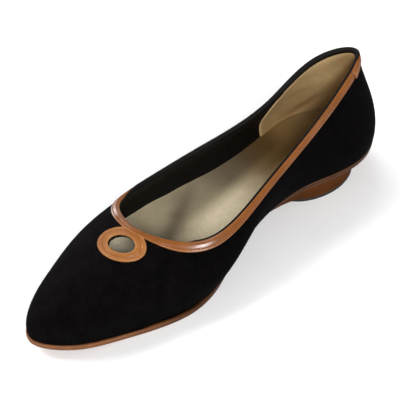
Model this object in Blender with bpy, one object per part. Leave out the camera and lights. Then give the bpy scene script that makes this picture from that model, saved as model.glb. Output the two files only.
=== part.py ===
"""A pointed suede slip-on shoe with a low wedge heel, for the right foot, as separate solids.

Frame: +X to the toe, +Y to the inner side of the foot, +Z up. The floor is z = 0 and the origin is
the middle of the heel's contact with it. Lengths below are millimetres, measured along the shoe
from the back of the heel seat, and each mesh is made in metres.

One surface drives every curved piece: the outer wall of the upper, which climbs from the feather
line, where upper and sole meet, to the topline. The binding and the ring are cut from that wall,
and the sole, insole and heel take their outlines from the feather line.
"""

import math

import bmesh
import bpy
import numpy as np

# Driving dimensions, millimetres
MM = 0.001
LENGTH = 250.0
BALL_WIDTH = 78.0
BACK_HEIGHT = 77.4
SEAT_HEIGHT = 20.5
TOE_SPRING = 8.0
ARCH_TWIST = 4.0
GAP = 0.3
WALL = 1.8
RIM_ROUND = 0.5
SOLE_THICKNESS = 3.6
SOLE_ROUND = 0.5
INSOLE_THICKNESS = 2.0
INSOLE_ROUND = 0.3
LIFT_THICKNESS = 2.2
BINDING_THICKNESS = 1.0
RING_THICKNESS = 1.1

# The wedge heel: where it runs out under the waist, and the oval that it stands on
HEEL_FRONT = 90.0
HEEL_INSET = 0.8
HEEL_UNDERCUT = 0.7
HEEL_MIDDLE = (42.0, -1.0)
HEEL_BACK_REACH = 27.0
HEEL_FRONT_REACH = 30.0
HEEL_HALF_WIDTH = 22.0
LIFT_INSET = 0.2

# The oval hole in the vamp and the ring around it, half sizes along and across the foot
RING_MIDDLE = (186.2, 6.7)
HOLE_HALF = (5.3, 7.9)
RING_HALF = (10.5, 14.4)
RING_TURN = math.radians(26.0)
HOLE_CLEARANCE = 0.5
CUTTER_REACH = 8.0

# Sections of the binding, from the topline down, and of the ring, from the hole to its edge:
# share of the width, share of the thickness
BINDING_SECTION = (
    (0.0, 0.0), (0.5, 0.0), (1.0, 0.0), (1.0, 0.6), (0.93, 1.0), (0.5, 1.1), (0.07, 1.0), (0.0, 0.6),
)
RING_SECTION = (
    (0.0, 0.0), (0.0, 0.6), (0.12, 1.0), (0.5, 1.08), (0.88, 1.0), (1.0, 0.6), (1.0, 0.0),
)

# How finely the surfaces are divided
AROUND = 80
CLIMB = 12
ACROSS = 5
RING_AROUND = 40
HEEL_SIDE = 16
HEEL_ACROSS = 4
HEEL_RINGS = 5
SHARP_EDGE = math.radians(40)

# How finely curves are searched, and the part of the wall where the ring is looked for
TINY = 1e-4
SECTION_STEPS = 120
WAIST_TURNS = 400
WAIST_REACH = 0.3
VAMP_TURNS = np.linspace(0.36, 0.64, 57)
VAMP_CLIMBS = np.linspace(0.4, 1.0, 41)
NEWTON_STEPS = 8
TRIM_SHARES = np.linspace(0.15, 1.0, 86)

# Stations around the shoe, from the back along the outer side to the toe and home along the inner
# side. x and top_x are percent of LENGTH, y and top_y percent of BALL_WIDTH, top_z percent of
# BACK_HEIGHT. lean is how far the wall flares out at the feather line and top_lean how far it
# folds in at the topline, in degrees from upright. belly and pull are how far the section keeps
# those directions, as shares of its height. band is the width of the binding in millimetres, and
# welt how far the sole's edge stands out from the feather line, or is tucked in where it is negative.
STATION_COLUMNS = (
    "x", "y", "lean", "belly", "top_x", "top_y", "top_z", "top_lean", "pull", "band", "welt",
)
STATIONS = {
    "back": (0.0, 0.4, 11, 0.36, 3.2, 0.0, 100.0, 10, 0.35, 5.2, -0.3),
    "outer_heel": (8.6, -31.9, 14, 0.40, 10.2, -18.2, 93.8, 13, 0.35, 5.2, -0.2),
    "outer_seat": (24.0, -36.3, 12, 0.40, 23.7, -23.5, 71.3, 13, 0.35, 4.9, -0.4),
    "outer_waist": (41.8, -43.5, 14, 0.42, 41.1, -32.3, 54.8, 15, 0.35, 4.9, -2.2),
    "outer_ball": (62.1, -50.2, 14, 0.43, 56.6, -34.6, 51.3, 26, 0.40, 5.2, 1.2),
    "outer_vamp": (78.8, -39.2, 14, 0.36, 66.2, -27.0, 55.8, 47, 0.45, 5.6, 1.1),
    "outer_toe": (92.0, -19.1, 12, 0.28, 69.4, -10.5, 61.2, 68, 0.55, 5.0, 0.9),
    "toe": (100.0, 5.8, 12, 0.24, 69.8, 4.1, 62.4, 72, 0.60, 4.2, 0.9),
    "inner_toe": (95.3, 25.3, 13, 0.29, 68.6, 15.0, 61.4, 70, 0.56, 4.2, 1.0),
    "inner_vamp": (82.4, 39.4, 13, 0.37, 64.8, 30.1, 57.7, 53, 0.44, 6.0, 1.3),
    "inner_ball": (66.1, 50.3, 20, 0.38, 57.2, 42.2, 53.9, 38, 0.53, 6.0, 1.9),
    "inner_waist": (45.3, 33.5, 25, 0.38, 40.4, 35.5, 62.9, 15, 0.39, 4.7, -2.8),
    "inner_seat": (25.7, 27.7, 16, 0.40, 24.2, 25.4, 77.9, 13, 0.34, 4.7, 0.0),
    "inner_heel": (8.2, 30.8, 14, 0.39, 11.8, 18.1, 96.8, 13, 0.35, 5.0, -0.1),
}
COLUMN = {name: index for index, name in enumerate(STATION_COLUMNS)}
COLUMN_UNIT = {
    "x": LENGTH / 100, "y": BALL_WIDTH / 100,
    "top_x": LENGTH / 100, "top_y": BALL_WIDTH / 100, "top_z": BACK_HEIGHT / 100,
}
TOE_ROW = list(STATIONS).index("toe")

# Height of the feather line along the shoe: percent of LENGTH, millimetres above the floor
TREAD_HEIGHT = SOLE_THICKNESS + GAP
PROFILE = (
    (0, 0.92 * SEAT_HEIGHT),
    (18, SEAT_HEIGHT),
    (40, 0.63 * SEAT_HEIGHT),
    (60, TREAD_HEIGHT),
    (76, TREAD_HEIGHT),
    (100, TREAD_HEIGHT + TOE_SPRING),
)

# The arch is twisted: raised by ARCH_TWIST at ARCH_SIDE from the middle line
ARCH_MIDDLE = 92.0
ARCH_REACH = 48.0
ARCH_SIDE = 30.0

# Material of each piece: colour, roughness
FINISHES = {
    "upper": ((0.008, 0.007, 0.007), 0.95),
    "topline_binding": ((0.29, 0.095, 0.019), 0.38),
    "vamp_ring": ((0.29, 0.095, 0.019), 0.42),
    "insole": ((0.42, 0.35, 0.22), 0.6),
    "outsole": ((0.19, 0.070, 0.024), 0.5),
    "heel_wedge": ((0.12, 0.042, 0.013), 0.5),
    "heel_top_lift": ((0.015, 0.013, 0.012), 0.7),
}


# Curves

def closed_spline(knots, values, query):
    """Smooth closed curve through values at knots in 0 to 1, read at query."""
    count = len(knots)
    step = np.diff(np.append(knots, knots[0] + 1.0))
    system = np.zeros((count, count))
    target = np.zeros_like(values)
    for i in range(count):
        before, after = step[i - 1], step[i]
        following = (i + 1) % count
        system[i, i - 1] += 1 / before
        system[i, i] += 2 / before + 2 / after
        system[i, following] += 1 / after
        target[i] = 3 * ((values[i] - values[i - 1]) / before**2
                         + (values[following] - values[i]) / after**2)
    slope = np.linalg.solve(system, target)
    query = np.mod(query, 1.0)
    i = np.clip(np.searchsorted(knots, query, side="right") - 1, 0, count - 1)
    return hermite((query - knots[i]) / step[i], step[i], values, slope, i, (i + 1) % count)


def hermite(share, step, values, slope, start, end):
    """Cubic between two knots, from the values and slopes at both."""
    if values.ndim > 1:
        share, step = share[..., None], step[..., None]
    return ((2 * share**3 - 3 * share**2 + 1) * values[start]
            + (share**3 - 2 * share**2 + share) * step * slope[start]
            + (3 * share**2 - 2 * share**3) * values[end]
            + (share**3 - share**2) * step * slope[end])


def rising_curve(points, query):
    """Smooth curve through points that never overshoots them, so that flat runs stay flat."""
    at, values = np.array(points, float).T
    step = np.diff(at)
    rise = np.diff(values) / step
    both = rise[:-1] * rise[1:]
    slope = np.zeros_like(values)
    slope[1:-1] = np.where(both > 0, 2 * both / np.where(both > 0, rise[:-1] + rise[1:], 1), 0)
    slope[0], slope[-1] = rise[0], rise[-1]
    query = np.clip(query, at[0], at[-1])
    i = np.clip(np.searchsorted(at, query, side="right") - 1, 0, len(at) - 2)
    return hermite((query - at[i]) / step[i], step[i], values, slope, i, i + 1)


# The last: feather line, topline and the wall between them

def station_table():
    """The stations in millimetres and degrees, and where each one lies around the shoe.

    The turn is 0 at the back and 0.5 at the toe, in proportion to the way along both rims.
    """
    unit = np.array([COLUMN_UNIT.get(name, 1.0) for name in STATION_COLUMNS])
    table = np.array(list(STATIONS.values()), float) * unit
    rims = table[:, [COLUMN[name] for name in ("x", "y", "top_x", "top_y")]]
    way = np.linalg.norm(np.diff(np.vstack([rims, rims[:1]]), axis=0), axis=1)
    walked = np.concatenate([[0], np.cumsum(way)])
    turn = np.where(
        walked <= walked[TOE_ROW],
        0.5 * walked / walked[TOE_ROW],
        0.5 + 0.5 * (walked - walked[TOE_ROW]) / (walked[-1] - walked[TOE_ROW]),
    )
    return table, turn[:-1]


TABLE, TURNS = station_table()


def station(turn):
    """All station columns at any turn around the shoe."""
    return closed_spline(TURNS, TABLE, np.asarray(turn, float))


def column(rows, *names):
    """Named columns of station rows."""
    return rows[..., [COLUMN[name] for name in names]]


def feather_height(x, y):
    """Height of the feather surface: the side profile, raised at the inner side of the arch."""
    profile = [(share * LENGTH / 100, height) for share, height in PROFILE]
    arch = np.clip(1 - ((x - ARCH_MIDDLE) / ARCH_REACH) ** 2, 0, 1) ** 2
    return rising_curve(profile, x) + ARCH_TWIST * arch * y / ARCH_SIDE


def with_height(xy, height):
    """Adds a height, a function of x and y, to plan points."""
    return np.concatenate([xy, height(xy[..., 0], xy[..., 1])[..., None]], axis=-1)


def feather_line(turn):
    """Points of the line where upper and sole meet."""
    return with_height(column(station(turn), "x", "y"), feather_height)


def sideways(curve, turn):
    """Level unit vectors that point out of a closed curve around the shoe."""
    along = curve(turn + TINY) - curve(turn - TINY)
    out = np.stack([along[..., 1], -along[..., 0], np.zeros_like(along[..., 0])], axis=-1)
    return out / np.linalg.norm(out, axis=-1, keepdims=True)


def topline(turn):
    """Points of the upper's open edge."""
    return column(station(turn), "top_x", "top_y", "top_z")


def wall_points(turn, climb):
    """Outer wall: each section is a cubic curve from the feather line, climb 0, to the topline, 1."""
    turn, climb = np.broadcast_arrays(np.asarray(turn, float), np.asarray(climb, float))
    rows = station(turn)
    start, end = feather_line(turn), topline(turn)
    up = np.array([0.0, 0.0, 1.0])
    lean, top_lean = (np.radians(column(rows, name)) for name in ("lean", "top_lean"))
    leaving = np.cos(lean) * up + np.sin(lean) * sideways(feather_line, turn)
    arriving = np.cos(top_lean) * up - np.sin(top_lean) * sideways(topline, turn)
    height = np.linalg.norm(end - start, axis=-1, keepdims=True)
    first = start + leaving * column(rows, "belly") * height
    second = end - arriving * column(rows, "pull") * height
    s = climb[..., None]
    return ((1 - s) ** 3 * start + 3 * (1 - s) ** 2 * s * first
            + 3 * (1 - s) * s**2 * second + s**3 * end)


def wall_normals(turn, climb):
    """Unit vectors that point out of the wall."""
    around = wall_points(turn + TINY, climb) - wall_points(turn - TINY, climb)
    upward = wall_points(turn, climb + TINY) - wall_points(turn, climb - TINY)
    out = np.cross(around, upward)
    return out / np.linalg.norm(out, axis=-1, keepdims=True)


def off_wall(turn, climb, lift):
    """Points at a distance out from the wall, or in from it where lift is negative."""
    return wall_points(turn, climb) + wall_normals(turn, climb) * np.asarray(lift, float)[..., None]


def climb_below_topline(turn, drop):
    """The climb at which the wall is drop millimetres below the topline, along its section."""
    samples = np.linspace(1.0, 0.0, SECTION_STEPS + 1)
    section = wall_points(turn[:, None], samples[None, :])
    way = np.linalg.norm(np.diff(section, axis=1), axis=2)
    walked = np.concatenate([np.zeros((len(turn), 1)), np.cumsum(way, axis=1)], axis=1)
    return np.array([np.interp(d, w, samples) for d, w in zip(drop, walked)])


# Meshes

def ring_strips(first, rings, points, closed=False):
    """Quads that join rings of points, each ring closed on itself, and last ring to first if closed."""
    faces = []
    for r in range(rings if closed else rings - 1):
        low, high = first + r * points, first + (r + 1) % rings * points
        for p in range(points):
            q = (p + 1) % points
            faces.append((low + p, low + q, high + q, high + p))
    return faces


def ladder_cap(ring, ring_start, spare_start, height):
    """Closes a ring whose point 0 is the back and whose middle point is the toe.

    Rungs join each outer point to the inner point across from it, and their inside points take
    the height of the surface. Returns the inside points and the faces.
    """
    half = len(ring) // 2
    outer = np.arange(1, half)
    inner = len(ring) - outer
    share = np.linspace(0, 1, ACROSS + 1)[1:-1]
    rungs = ring[outer, None, :2] * (1 - share[:, None]) + ring[inner, None, :2] * share[:, None]
    inside = with_height(rungs.reshape(-1, 2), height)
    index = spare_start + np.arange(len(inside)).reshape(half - 1, len(share))
    rows = np.column_stack([ring_start + outer, index, ring_start + inner])
    faces = []
    for low, high in zip(rows[:-1], rows[1:]):
        faces += list(zip(low[:-1], low[1:], high[1:], high[:-1]))
    faces += [(ring_start, a, b) for a, b in zip(rows[0][:-1], rows[0][1:])]
    faces += [(ring_start + half, b, a) for a, b in zip(rows[-1][:-1], rows[-1][1:])]
    return inside, faces


def make_material(name):
    """A Principled material in the colour of its piece."""
    colour, roughness = FINISHES[name]
    material = bpy.data.materials.new(name)
    material.use_nodes = True
    shader = material.node_tree.nodes["Principled BSDF"]
    shader.inputs["Base Color"].default_value = (*colour, 1.0)
    shader.inputs["Roughness"].default_value = roughness
    shader.inputs["Metallic"].default_value = 0.0
    return material


def make_object(name, points, faces, parent, smooth=True):
    """A mesh object, its faces turned outward, placed in the shoe's frame by its parent."""
    mesh = bpy.data.meshes.new(name)
    plain_faces = [tuple(int(i) for i in face) for face in faces]
    mesh.from_pydata((np.asarray(points) * MM).tolist(), [], plain_faces)
    edit = bmesh.new()
    edit.from_mesh(mesh)
    bmesh.ops.recalc_face_normals(edit, faces=edit.faces)
    if edit.calc_volume(signed=True) < 0:
        bmesh.ops.reverse_faces(edit, faces=edit.faces)
    edit.to_mesh(mesh)
    edit.free()
    if smooth:
        mesh.shade_smooth()
        mesh.set_sharp_from_angle(angle=SHARP_EDGE)
    piece = bpy.data.objects.new(name, mesh)
    bpy.context.scene.collection.objects.link(piece)
    piece.parent = parent
    if name in FINISHES:
        mesh.materials.append(make_material(name))
    return piece


def make_plate(name, rings, top_height, bottom_height, parent):
    """A solid plate: edge rings from its top to its bottom, closed by a cap on each side."""
    points = np.vstack(rings)
    count = len(rings[0])
    faces = ring_strips(0, len(rings), count)
    for ring, start, height in ((rings[0], 0, top_height),
                                (rings[-1], len(points) - count, bottom_height)):
        inside, cap = ladder_cap(ring, start, len(points), height)
        points = np.vstack([points, inside])
        faces += cap
    return make_object(name, points, faces, parent)


def all_turns():
    """Evenly spread turns around the shoe, from the back."""
    return np.arange(AROUND) / AROUND


def raised(height, lift):
    """A height function moved up by lift."""
    return lambda x, y: height(x, y) + lift


# The pieces

def make_upper(parent):
    """One hollow wall, open at the topline and underneath, with the oval hole cut through the vamp."""
    turn = all_turns()
    climbs = np.linspace(0, 1, CLIMB + 1)
    outer = [wall_points(turn, c) for c in climbs]
    inner = [off_wall(turn, np.full(AROUND, c), np.full(AROUND, -WALL)) for c in climbs]
    upward = wall_points(turn, 1.0) - wall_points(turn, 1.0 - TINY)
    upward /= np.linalg.norm(upward, axis=1, keepdims=True)
    rim = (outer[-1] + inner[-1]) / 2 + upward * RIM_ROUND
    inner[0] = with_height(inner[0][:, :2], feather_height)
    rings = outer + [rim] + inner[::-1]
    faces = ring_strips(0, len(rings), AROUND, closed=True)
    upper = make_object("upper", np.vstack(rings), faces, parent)
    hole = upper.modifiers.new("vamp hole", "BOOLEAN")
    hole.operation = "DIFFERENCE"
    hole.object = make_hole_cutter(parent)
    return upper


def ring_frame():
    """Middle of the oval on the wall, with unit vectors along the foot, across it and out of it."""
    turn, climb = wall_under(np.array([RING_MIDDLE]), lambda points: points[..., :2])
    middle = wall_points(turn, climb)[0]
    out = wall_normals(turn, climb)[0]
    forward = np.array([math.cos(RING_TURN), math.sin(RING_TURN), 0.0])
    forward -= out * forward.dot(out)
    forward /= np.linalg.norm(forward)
    return middle, forward, np.cross(out, forward), out


def wall_under(places, measure):
    """Turn and climb of the vamp points whose two measures are the given places.

    Starts from the nearest point of a coarse grid of the vamp and closes in by Newton's method.
    """
    turns, climbs = np.meshgrid(VAMP_TURNS, VAMP_CLIMBS)
    found = measure(wall_points(turns, climbs)).reshape(-1, 2)
    nearest = np.argmin(np.linalg.norm(found[None] - places[:, None], axis=2), axis=1)
    turn, climb = turns.ravel()[nearest], climbs.ravel()[nearest]
    for _ in range(NEWTON_STEPS):
        here = measure(wall_points(turn, climb))
        by_turn = (measure(wall_points(turn + TINY, climb)) - here) / TINY
        by_climb = (measure(wall_points(turn, climb + TINY)) - here) / TINY
        steps = np.linalg.solve(np.stack([by_turn, by_climb], axis=-1), (places - here)[..., None])
        turn = turn + steps[:, 0, 0]
        climb = climb + steps[:, 1, 0]
    return turn, climb


def oval(half, angles):
    """Points of an ellipse by its half sizes."""
    return np.stack([half[0] * np.cos(angles), half[1] * np.sin(angles)], axis=-1)


def make_hole_cutter(parent):
    """Straight oval prism through the vamp, a guide that is not part of the shoe."""
    middle, forward, across, out = ring_frame()
    angles = np.arange(RING_AROUND) / RING_AROUND * 2 * math.pi
    half = np.array(HOLE_HALF) + HOLE_CLEARANCE
    flat = oval(half, angles)
    rim = middle + flat[:, :1] * forward + flat[:, 1:] * across
    points = np.vstack([rim - out * CUTTER_REACH, rim + out * CUTTER_REACH])
    faces = ring_strips(0, 2, RING_AROUND)
    faces += [tuple(range(RING_AROUND)), tuple(range(RING_AROUND, 2 * RING_AROUND))]
    cutter = make_object("hole_guide", points, faces, parent, smooth=False)
    cutter.hide_render = True
    cutter.display_type = "WIRE"
    return cutter


def make_ring(parent):
    """Oval leather ring on the vamp, trimmed where it meets the binding."""
    middle, forward, across, _ = ring_frame()

    def measure(points):
        away = points - middle
        return np.stack([away @ forward, away @ across], axis=-1)

    angles = np.arange(RING_AROUND) / RING_AROUND * 2 * math.pi
    hole, edge = oval(HOLE_HALF, angles), oval(RING_HALF, angles)
    edge = trim_at_binding(hole, edge, measure)
    rings = []
    for share, thickness in RING_SECTION:
        turn, climb = wall_under(hole + (edge - hole) * share, measure)
        rings.append(off_wall(turn, climb, np.full(RING_AROUND, GAP + thickness * RING_THICKNESS)))
    faces = ring_strips(0, len(rings), RING_AROUND, closed=True)
    return make_object("vamp_ring", np.vstack(rings), faces, parent)


def trim_at_binding(hole, edge, measure):
    """Pulls the ring's edge in until it is clear of the binding's lower edge."""
    places = hole[:, None] + (edge - hole)[:, None] * TRIM_SHARES[None, :, None]
    turn, climb = wall_under(places.reshape(-1, 2), measure)
    drop = column(station(turn), "band")[:, 0] + GAP
    clear = (climb < climb_below_topline(turn, drop)).reshape(len(hole), len(TRIM_SHARES))
    reach = np.where(clear, TRIM_SHARES, 0).max(axis=1)
    return hole + (edge - hole) * reach[:, None]


def make_binding(parent):
    """Leather strip along the whole topline, on the outside of the wall."""
    turn = all_turns()
    width = column(station(turn), "band")[:, 0]
    rings = []
    for share, thickness in BINDING_SECTION:
        climb = climb_below_topline(turn, share * width)
        rings.append(off_wall(turn, climb, np.full(AROUND, GAP + thickness * BINDING_THICKNESS)))
    faces = ring_strips(0, len(rings), AROUND, closed=True)
    return make_object("topline_binding", np.vstack(rings), faces, parent)


def beside_feather(turn, out):
    """Plan points beside the feather line, out from it or in where out is negative."""
    out = np.asarray(out, float)[..., None]
    return (feather_line(turn) + sideways(feather_line, turn) * out)[:, :2]


def beside_sole_edge(turn, out):
    """Plan points beside the edge of the sole, out from it or in where out is negative."""
    return beside_feather(turn, column(station(turn), "welt")[:, 0] + out)


def make_outsole(parent):
    """Full-length outsole with arch and toe spring, its edge rounded above and below."""
    turn = all_turns()
    top = raised(feather_height, -GAP)
    bottom = raised(feather_height, -GAP - SOLE_THICKNESS)
    rings = [
        with_height(beside_sole_edge(turn, -SOLE_ROUND), top),
        with_height(beside_sole_edge(turn, 0.0), raised(top, -SOLE_ROUND)),
        with_height(beside_sole_edge(turn, 0.0), raised(bottom, 2 * SOLE_ROUND)),
        with_height(beside_sole_edge(turn, -2 * SOLE_ROUND), bottom),
    ]
    return make_plate("outsole", rings, top, bottom, parent)


def make_insole(parent):
    """Insole with its sock, inside the foot of the wall."""
    turn = all_turns()
    inset = -(WALL + 2 * GAP)
    top = raised(feather_height, INSOLE_THICKNESS)
    rings = [
        with_height(beside_feather(turn, inset - INSOLE_ROUND), top),
        with_height(beside_feather(turn, inset), raised(top, -INSOLE_ROUND)),
        with_height(beside_feather(turn, inset), feather_height),
    ]
    return make_plate("insole", rings, top, feather_height, parent)


def turn_at(x, start, end):
    """The turn between start and end at which the feather line reaches x."""
    turns = np.linspace(start, end, WAIST_TURNS)
    reached = feather_line(turns)[:, 0]
    return np.interp(x, reached, turns)


def heel_seat_ring():
    """Plan outline of the heel under the sole: along the sole's edge, then across the waist."""
    share = np.linspace(0, 1, HEEL_SIDE + 1)
    outer = beside_sole_edge(share * turn_at(HEEL_FRONT, 0.0, WAIST_REACH), -HEEL_INSET)
    inner = beside_sole_edge(1 - share * (1 - turn_at(HEEL_FRONT, 1.0, 1 - WAIST_REACH)), -HEEL_INSET)
    cross = np.linspace(0, 1, 2 * HEEL_ACROSS + 1)[1:-1, None]
    front = outer[-1] * (1 - cross) + inner[-1] * cross
    return np.vstack([outer, front, inner[:0:-1]])


def heel_angles():
    """Angles around the heel's foot: 0 at the back, then along the outer side to the front."""
    half = np.linspace(0, math.pi, HEEL_SIDE + HEEL_ACROSS + 1)
    return np.concatenate([half, 2 * math.pi - half[-2:0:-1]])


def heel_foot_ring(inset=0.0):
    """Plan oval that the heel stands on, point for point with the seat ring."""
    angle = heel_angles()
    reach = np.where(np.cos(angle) > 0, HEEL_BACK_REACH, HEEL_FRONT_REACH) - inset
    x = HEEL_MIDDLE[0] - reach * np.cos(angle)
    y = HEEL_MIDDLE[1] - (HEEL_HALF_WIDTH - inset) * np.sin(angle)
    return np.stack([x, y], axis=-1)


def level(height):
    """A height function that is the same everywhere."""
    return lambda x, y: np.full(np.shape(x), height)


def make_heel(parent):
    """Wedge heel: cut in steeply under the back of the seat, and a straight slope at its front."""
    top = raised(feather_height, -2 * GAP - SOLE_THICKNESS)
    foot = LIFT_THICKNESS + GAP
    seat_ring, foot_ring = heel_seat_ring(), heel_foot_ring()
    seat = with_height(seat_ring, top)
    steepness = 1 + HEEL_UNDERCUT * (1 + np.cos(heel_angles()[:, None])) / 2
    rings = [seat]
    for share in np.linspace(0, 1, HEEL_RINGS + 1)[1:]:
        inward = 1 - (1 - share) ** steepness
        plan = seat_ring * (1 - inward) + foot_ring * inward
        height = seat[:, 2] * (1 - share) + foot * share
        rings.append(np.column_stack([plan, height]))
    return make_plate("heel_wedge", rings, top, level(foot), parent)


def make_lift(parent):
    """Rubber lift under the heel, flat on the floor."""
    ring = heel_foot_ring(LIFT_INSET)
    top, floor = level(LIFT_THICKNESS), level(0.0)
    rings = [with_height(ring, top), with_height(ring, floor)]
    return make_plate("heel_top_lift", rings, top, floor, parent)


def main():
    """Clears the scene and makes each piece under one parent at the middle of the heel."""
    for item in list(bpy.data.objects):
        bpy.data.objects.remove(item, do_unlink=True)
    shoe = bpy.data.objects.new("shoe", None)
    shoe.location = (-HEEL_MIDDLE[0] * MM, 0.0, 0.0)
    bpy.context.scene.collection.objects.link(shoe)
    for make in (make_upper, make_outsole, make_insole, make_heel, make_lift, make_binding, make_ring):
        make(shoe)


main()
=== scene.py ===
"""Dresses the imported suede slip-on shoe and sets it in a plain studio.

The shoe's surfaces are worked out again here, finer than the solids: one wall climbs from the feather
line, where upper and sole meet, to the topline, and suede, linings, binding and ring all lie on that
wall at their own distance from it. Lengths are millimetres, measured along the shoe from the back of
the heel seat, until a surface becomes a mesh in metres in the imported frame.
"""

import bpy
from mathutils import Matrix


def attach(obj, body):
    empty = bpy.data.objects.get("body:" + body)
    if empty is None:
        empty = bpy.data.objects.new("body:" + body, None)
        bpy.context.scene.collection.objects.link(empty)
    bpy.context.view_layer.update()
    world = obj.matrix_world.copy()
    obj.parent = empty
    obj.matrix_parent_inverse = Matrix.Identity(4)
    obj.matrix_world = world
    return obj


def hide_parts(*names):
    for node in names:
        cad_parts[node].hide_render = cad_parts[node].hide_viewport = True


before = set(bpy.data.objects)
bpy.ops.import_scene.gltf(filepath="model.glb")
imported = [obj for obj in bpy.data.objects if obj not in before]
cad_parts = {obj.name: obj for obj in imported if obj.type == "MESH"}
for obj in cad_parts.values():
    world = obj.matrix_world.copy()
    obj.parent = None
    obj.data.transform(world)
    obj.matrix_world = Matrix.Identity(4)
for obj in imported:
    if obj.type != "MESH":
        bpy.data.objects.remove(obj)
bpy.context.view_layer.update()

import logging
import math
from abc import ABC, abstractmethod
from collections.abc import Callable, Mapping, Sequence
from dataclasses import dataclass, field, replace
from enum import Enum
from functools import cached_property
from typing import NamedTuple

import bpy
import numpy as np
from mathutils import Matrix

LOG = logging.getLogger("shoe")
Array = np.ndarray
Triple = tuple[float, float, float]
Pairs = tuple[tuple[float, float], ...]
Height = Callable[[Array, Array], Array]
Node = bpy.types.Node
Socket = bpy.types.NodeSocket

MM = 0.001
TINY = 1e-4
HEEL_MIDDLE = (42.0, -1.0)
UP = np.array([0.0, 0.0, 1.0])
FINE_TURNS = np.linspace(0, 1, 2001)


class Slot(Enum):
    """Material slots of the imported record."""

    SUEDE = "suede"
    TAN = "tan_leather"
    SOCK = "sock_leather"
    SOLE = "sole_leather"
    HEEL = "heel_leather"
    LIFT = "lift_rubber"


# Curves


def smooth_step(share: Array) -> Array:
    """Rises from 0 at 0 to 1 at 1 with level ends."""
    share = np.clip(share, 0.0, 1.0)
    return share * share * (3.0 - 2.0 * share)


def ramp(value: Array, start: Array | float, end: Array | float) -> Array:
    """Rises softly from 0 where the value is start to 1 where it is end, which may be the lower one."""
    return smooth_step((value - start) / (end - start))


def bell(distance: Array, width: float = 1.0) -> Array:
    """Soft bump that is 1 at no distance and dies away over the width."""
    return np.exp(-((distance / width) ** 2))


def hermite(share: Array, step: Array, values: Array, slope: Array, start: Array, end: Array) -> Array:
    """Cubic between two knots, from the values and slopes at both.

    Args:
        share: How far between the knots, 0 to 1.
        step: Distance between the knots.
        values: Values at all knots.
        slope: Slopes at all knots.
        start: Number of the knot before each place.
        end: Number of the knot after it.

    Returns:
        The values at the places.
    """
    if values.ndim > 1:
        share, step = share[..., None], step[..., None]
    return (
        (2 * share**3 - 3 * share**2 + 1) * values[start]
        + (share**3 - 2 * share**2 + share) * step * slope[start]
        + (3 * share**2 - 2 * share**3) * values[end]
        + (share**3 - share**2) * step * slope[end]
    )


def closed_spline(knots: Array, values: Array, query: Array) -> Array:
    """Smooth closed curve through rows of values at knots in 0 to 1.

    The slopes make the second derivative run on across each knot, so bending never jumps.

    Args:
        knots: Rising places of the knots.
        values: One row of values for each knot.
        query: Places to read, wrapped into 0 to 1.

    Returns:
        One row of values for each place.
    """
    step = np.diff(np.append(knots, knots[0] + 1.0))
    before, after = np.roll(step, 1), step
    identity = np.eye(len(knots))
    system = (
        identity * (2 / before + 2 / after)[:, None]
        + np.roll(identity, -1, axis=1) / before[:, None]
        + np.roll(identity, 1, axis=1) / after[:, None]
    )
    fall = (values - np.roll(values, 1, axis=0)) / (before**2)[:, None]
    rise = (np.roll(values, -1, axis=0) - values) / (after**2)[:, None]
    slope = np.linalg.solve(system, 3 * (fall + rise))
    query = np.mod(query, 1.0)
    at = np.clip(np.searchsorted(knots, query, side="right") - 1, 0, len(knots) - 1)
    return hermite((query - knots[at]) / step[at], step[at], values, slope, at, (at + 1) % len(knots))


def rising_curve(points: Pairs | Array, query: Array) -> Array:
    """Smooth curve through points that never overshoots them, so that flat runs stay flat.

    Args:
        points: Pairs of place and value, in rising order of place.
        query: Places to read, held to the ends of the curve.

    Returns:
        The values at the places.
    """
    at, values = np.array(points, float).T
    step = np.diff(at)
    rise = np.diff(values) / step
    both = rise[:-1] * rise[1:]
    slope = np.zeros_like(values)
    slope[1:-1] = np.where(both > 0, 2 * both / np.where(both > 0, rise[:-1] + rise[1:], 1), 0)
    slope[0], slope[-1] = rise[0], rise[-1]
    query = np.clip(query, at[0], at[-1])
    i = np.clip(np.searchsorted(at, query, side="right") - 1, 0, len(at) - 2)
    return hermite((query - at[i]) / step[i], step[i], values, slope, i, i + 1)


def unit(vectors: Array) -> Array:
    """Vectors of length 1 in the same directions."""
    return vectors / np.linalg.norm(vectors, axis=-1, keepdims=True)


def evenly(line: Array, pitch: float) -> Array:
    """Places spread evenly along a line of points, from its summed lengths.

    Args:
        line: Points of the line.
        pitch: About the distance from place to place.

    Returns:
        Point numbers of the places, with fractions between points.
    """
    way = np.concatenate([[0.0], np.cumsum(np.linalg.norm(np.diff(line, axis=0), axis=1))])
    count = int(way[-1] / pitch)
    return np.interp((np.arange(count) + 0.5) / count * way[-1], way, np.arange(len(line)))


# Surfaces


def quads(index: Array) -> Array:
    """Quads between neighbours in a grid of point numbers."""
    corners = index[:-1, :-1], index[:-1, 1:], index[1:, 1:], index[1:, :-1]
    return np.stack(corners, axis=-1).reshape(-1, 4)


def grid_faces(rows: int, columns: int, wrap_rows: bool = False, wrap_columns: bool = False) -> Array:
    """Quads of a grid numbered row by row, its last row or column joined to the first where it wraps."""
    index = np.arange(rows * columns).reshape(rows, columns)
    return quads(np.pad(index, ((0, int(wrap_rows)), (0, int(wrap_columns))), mode="wrap"))


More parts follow.
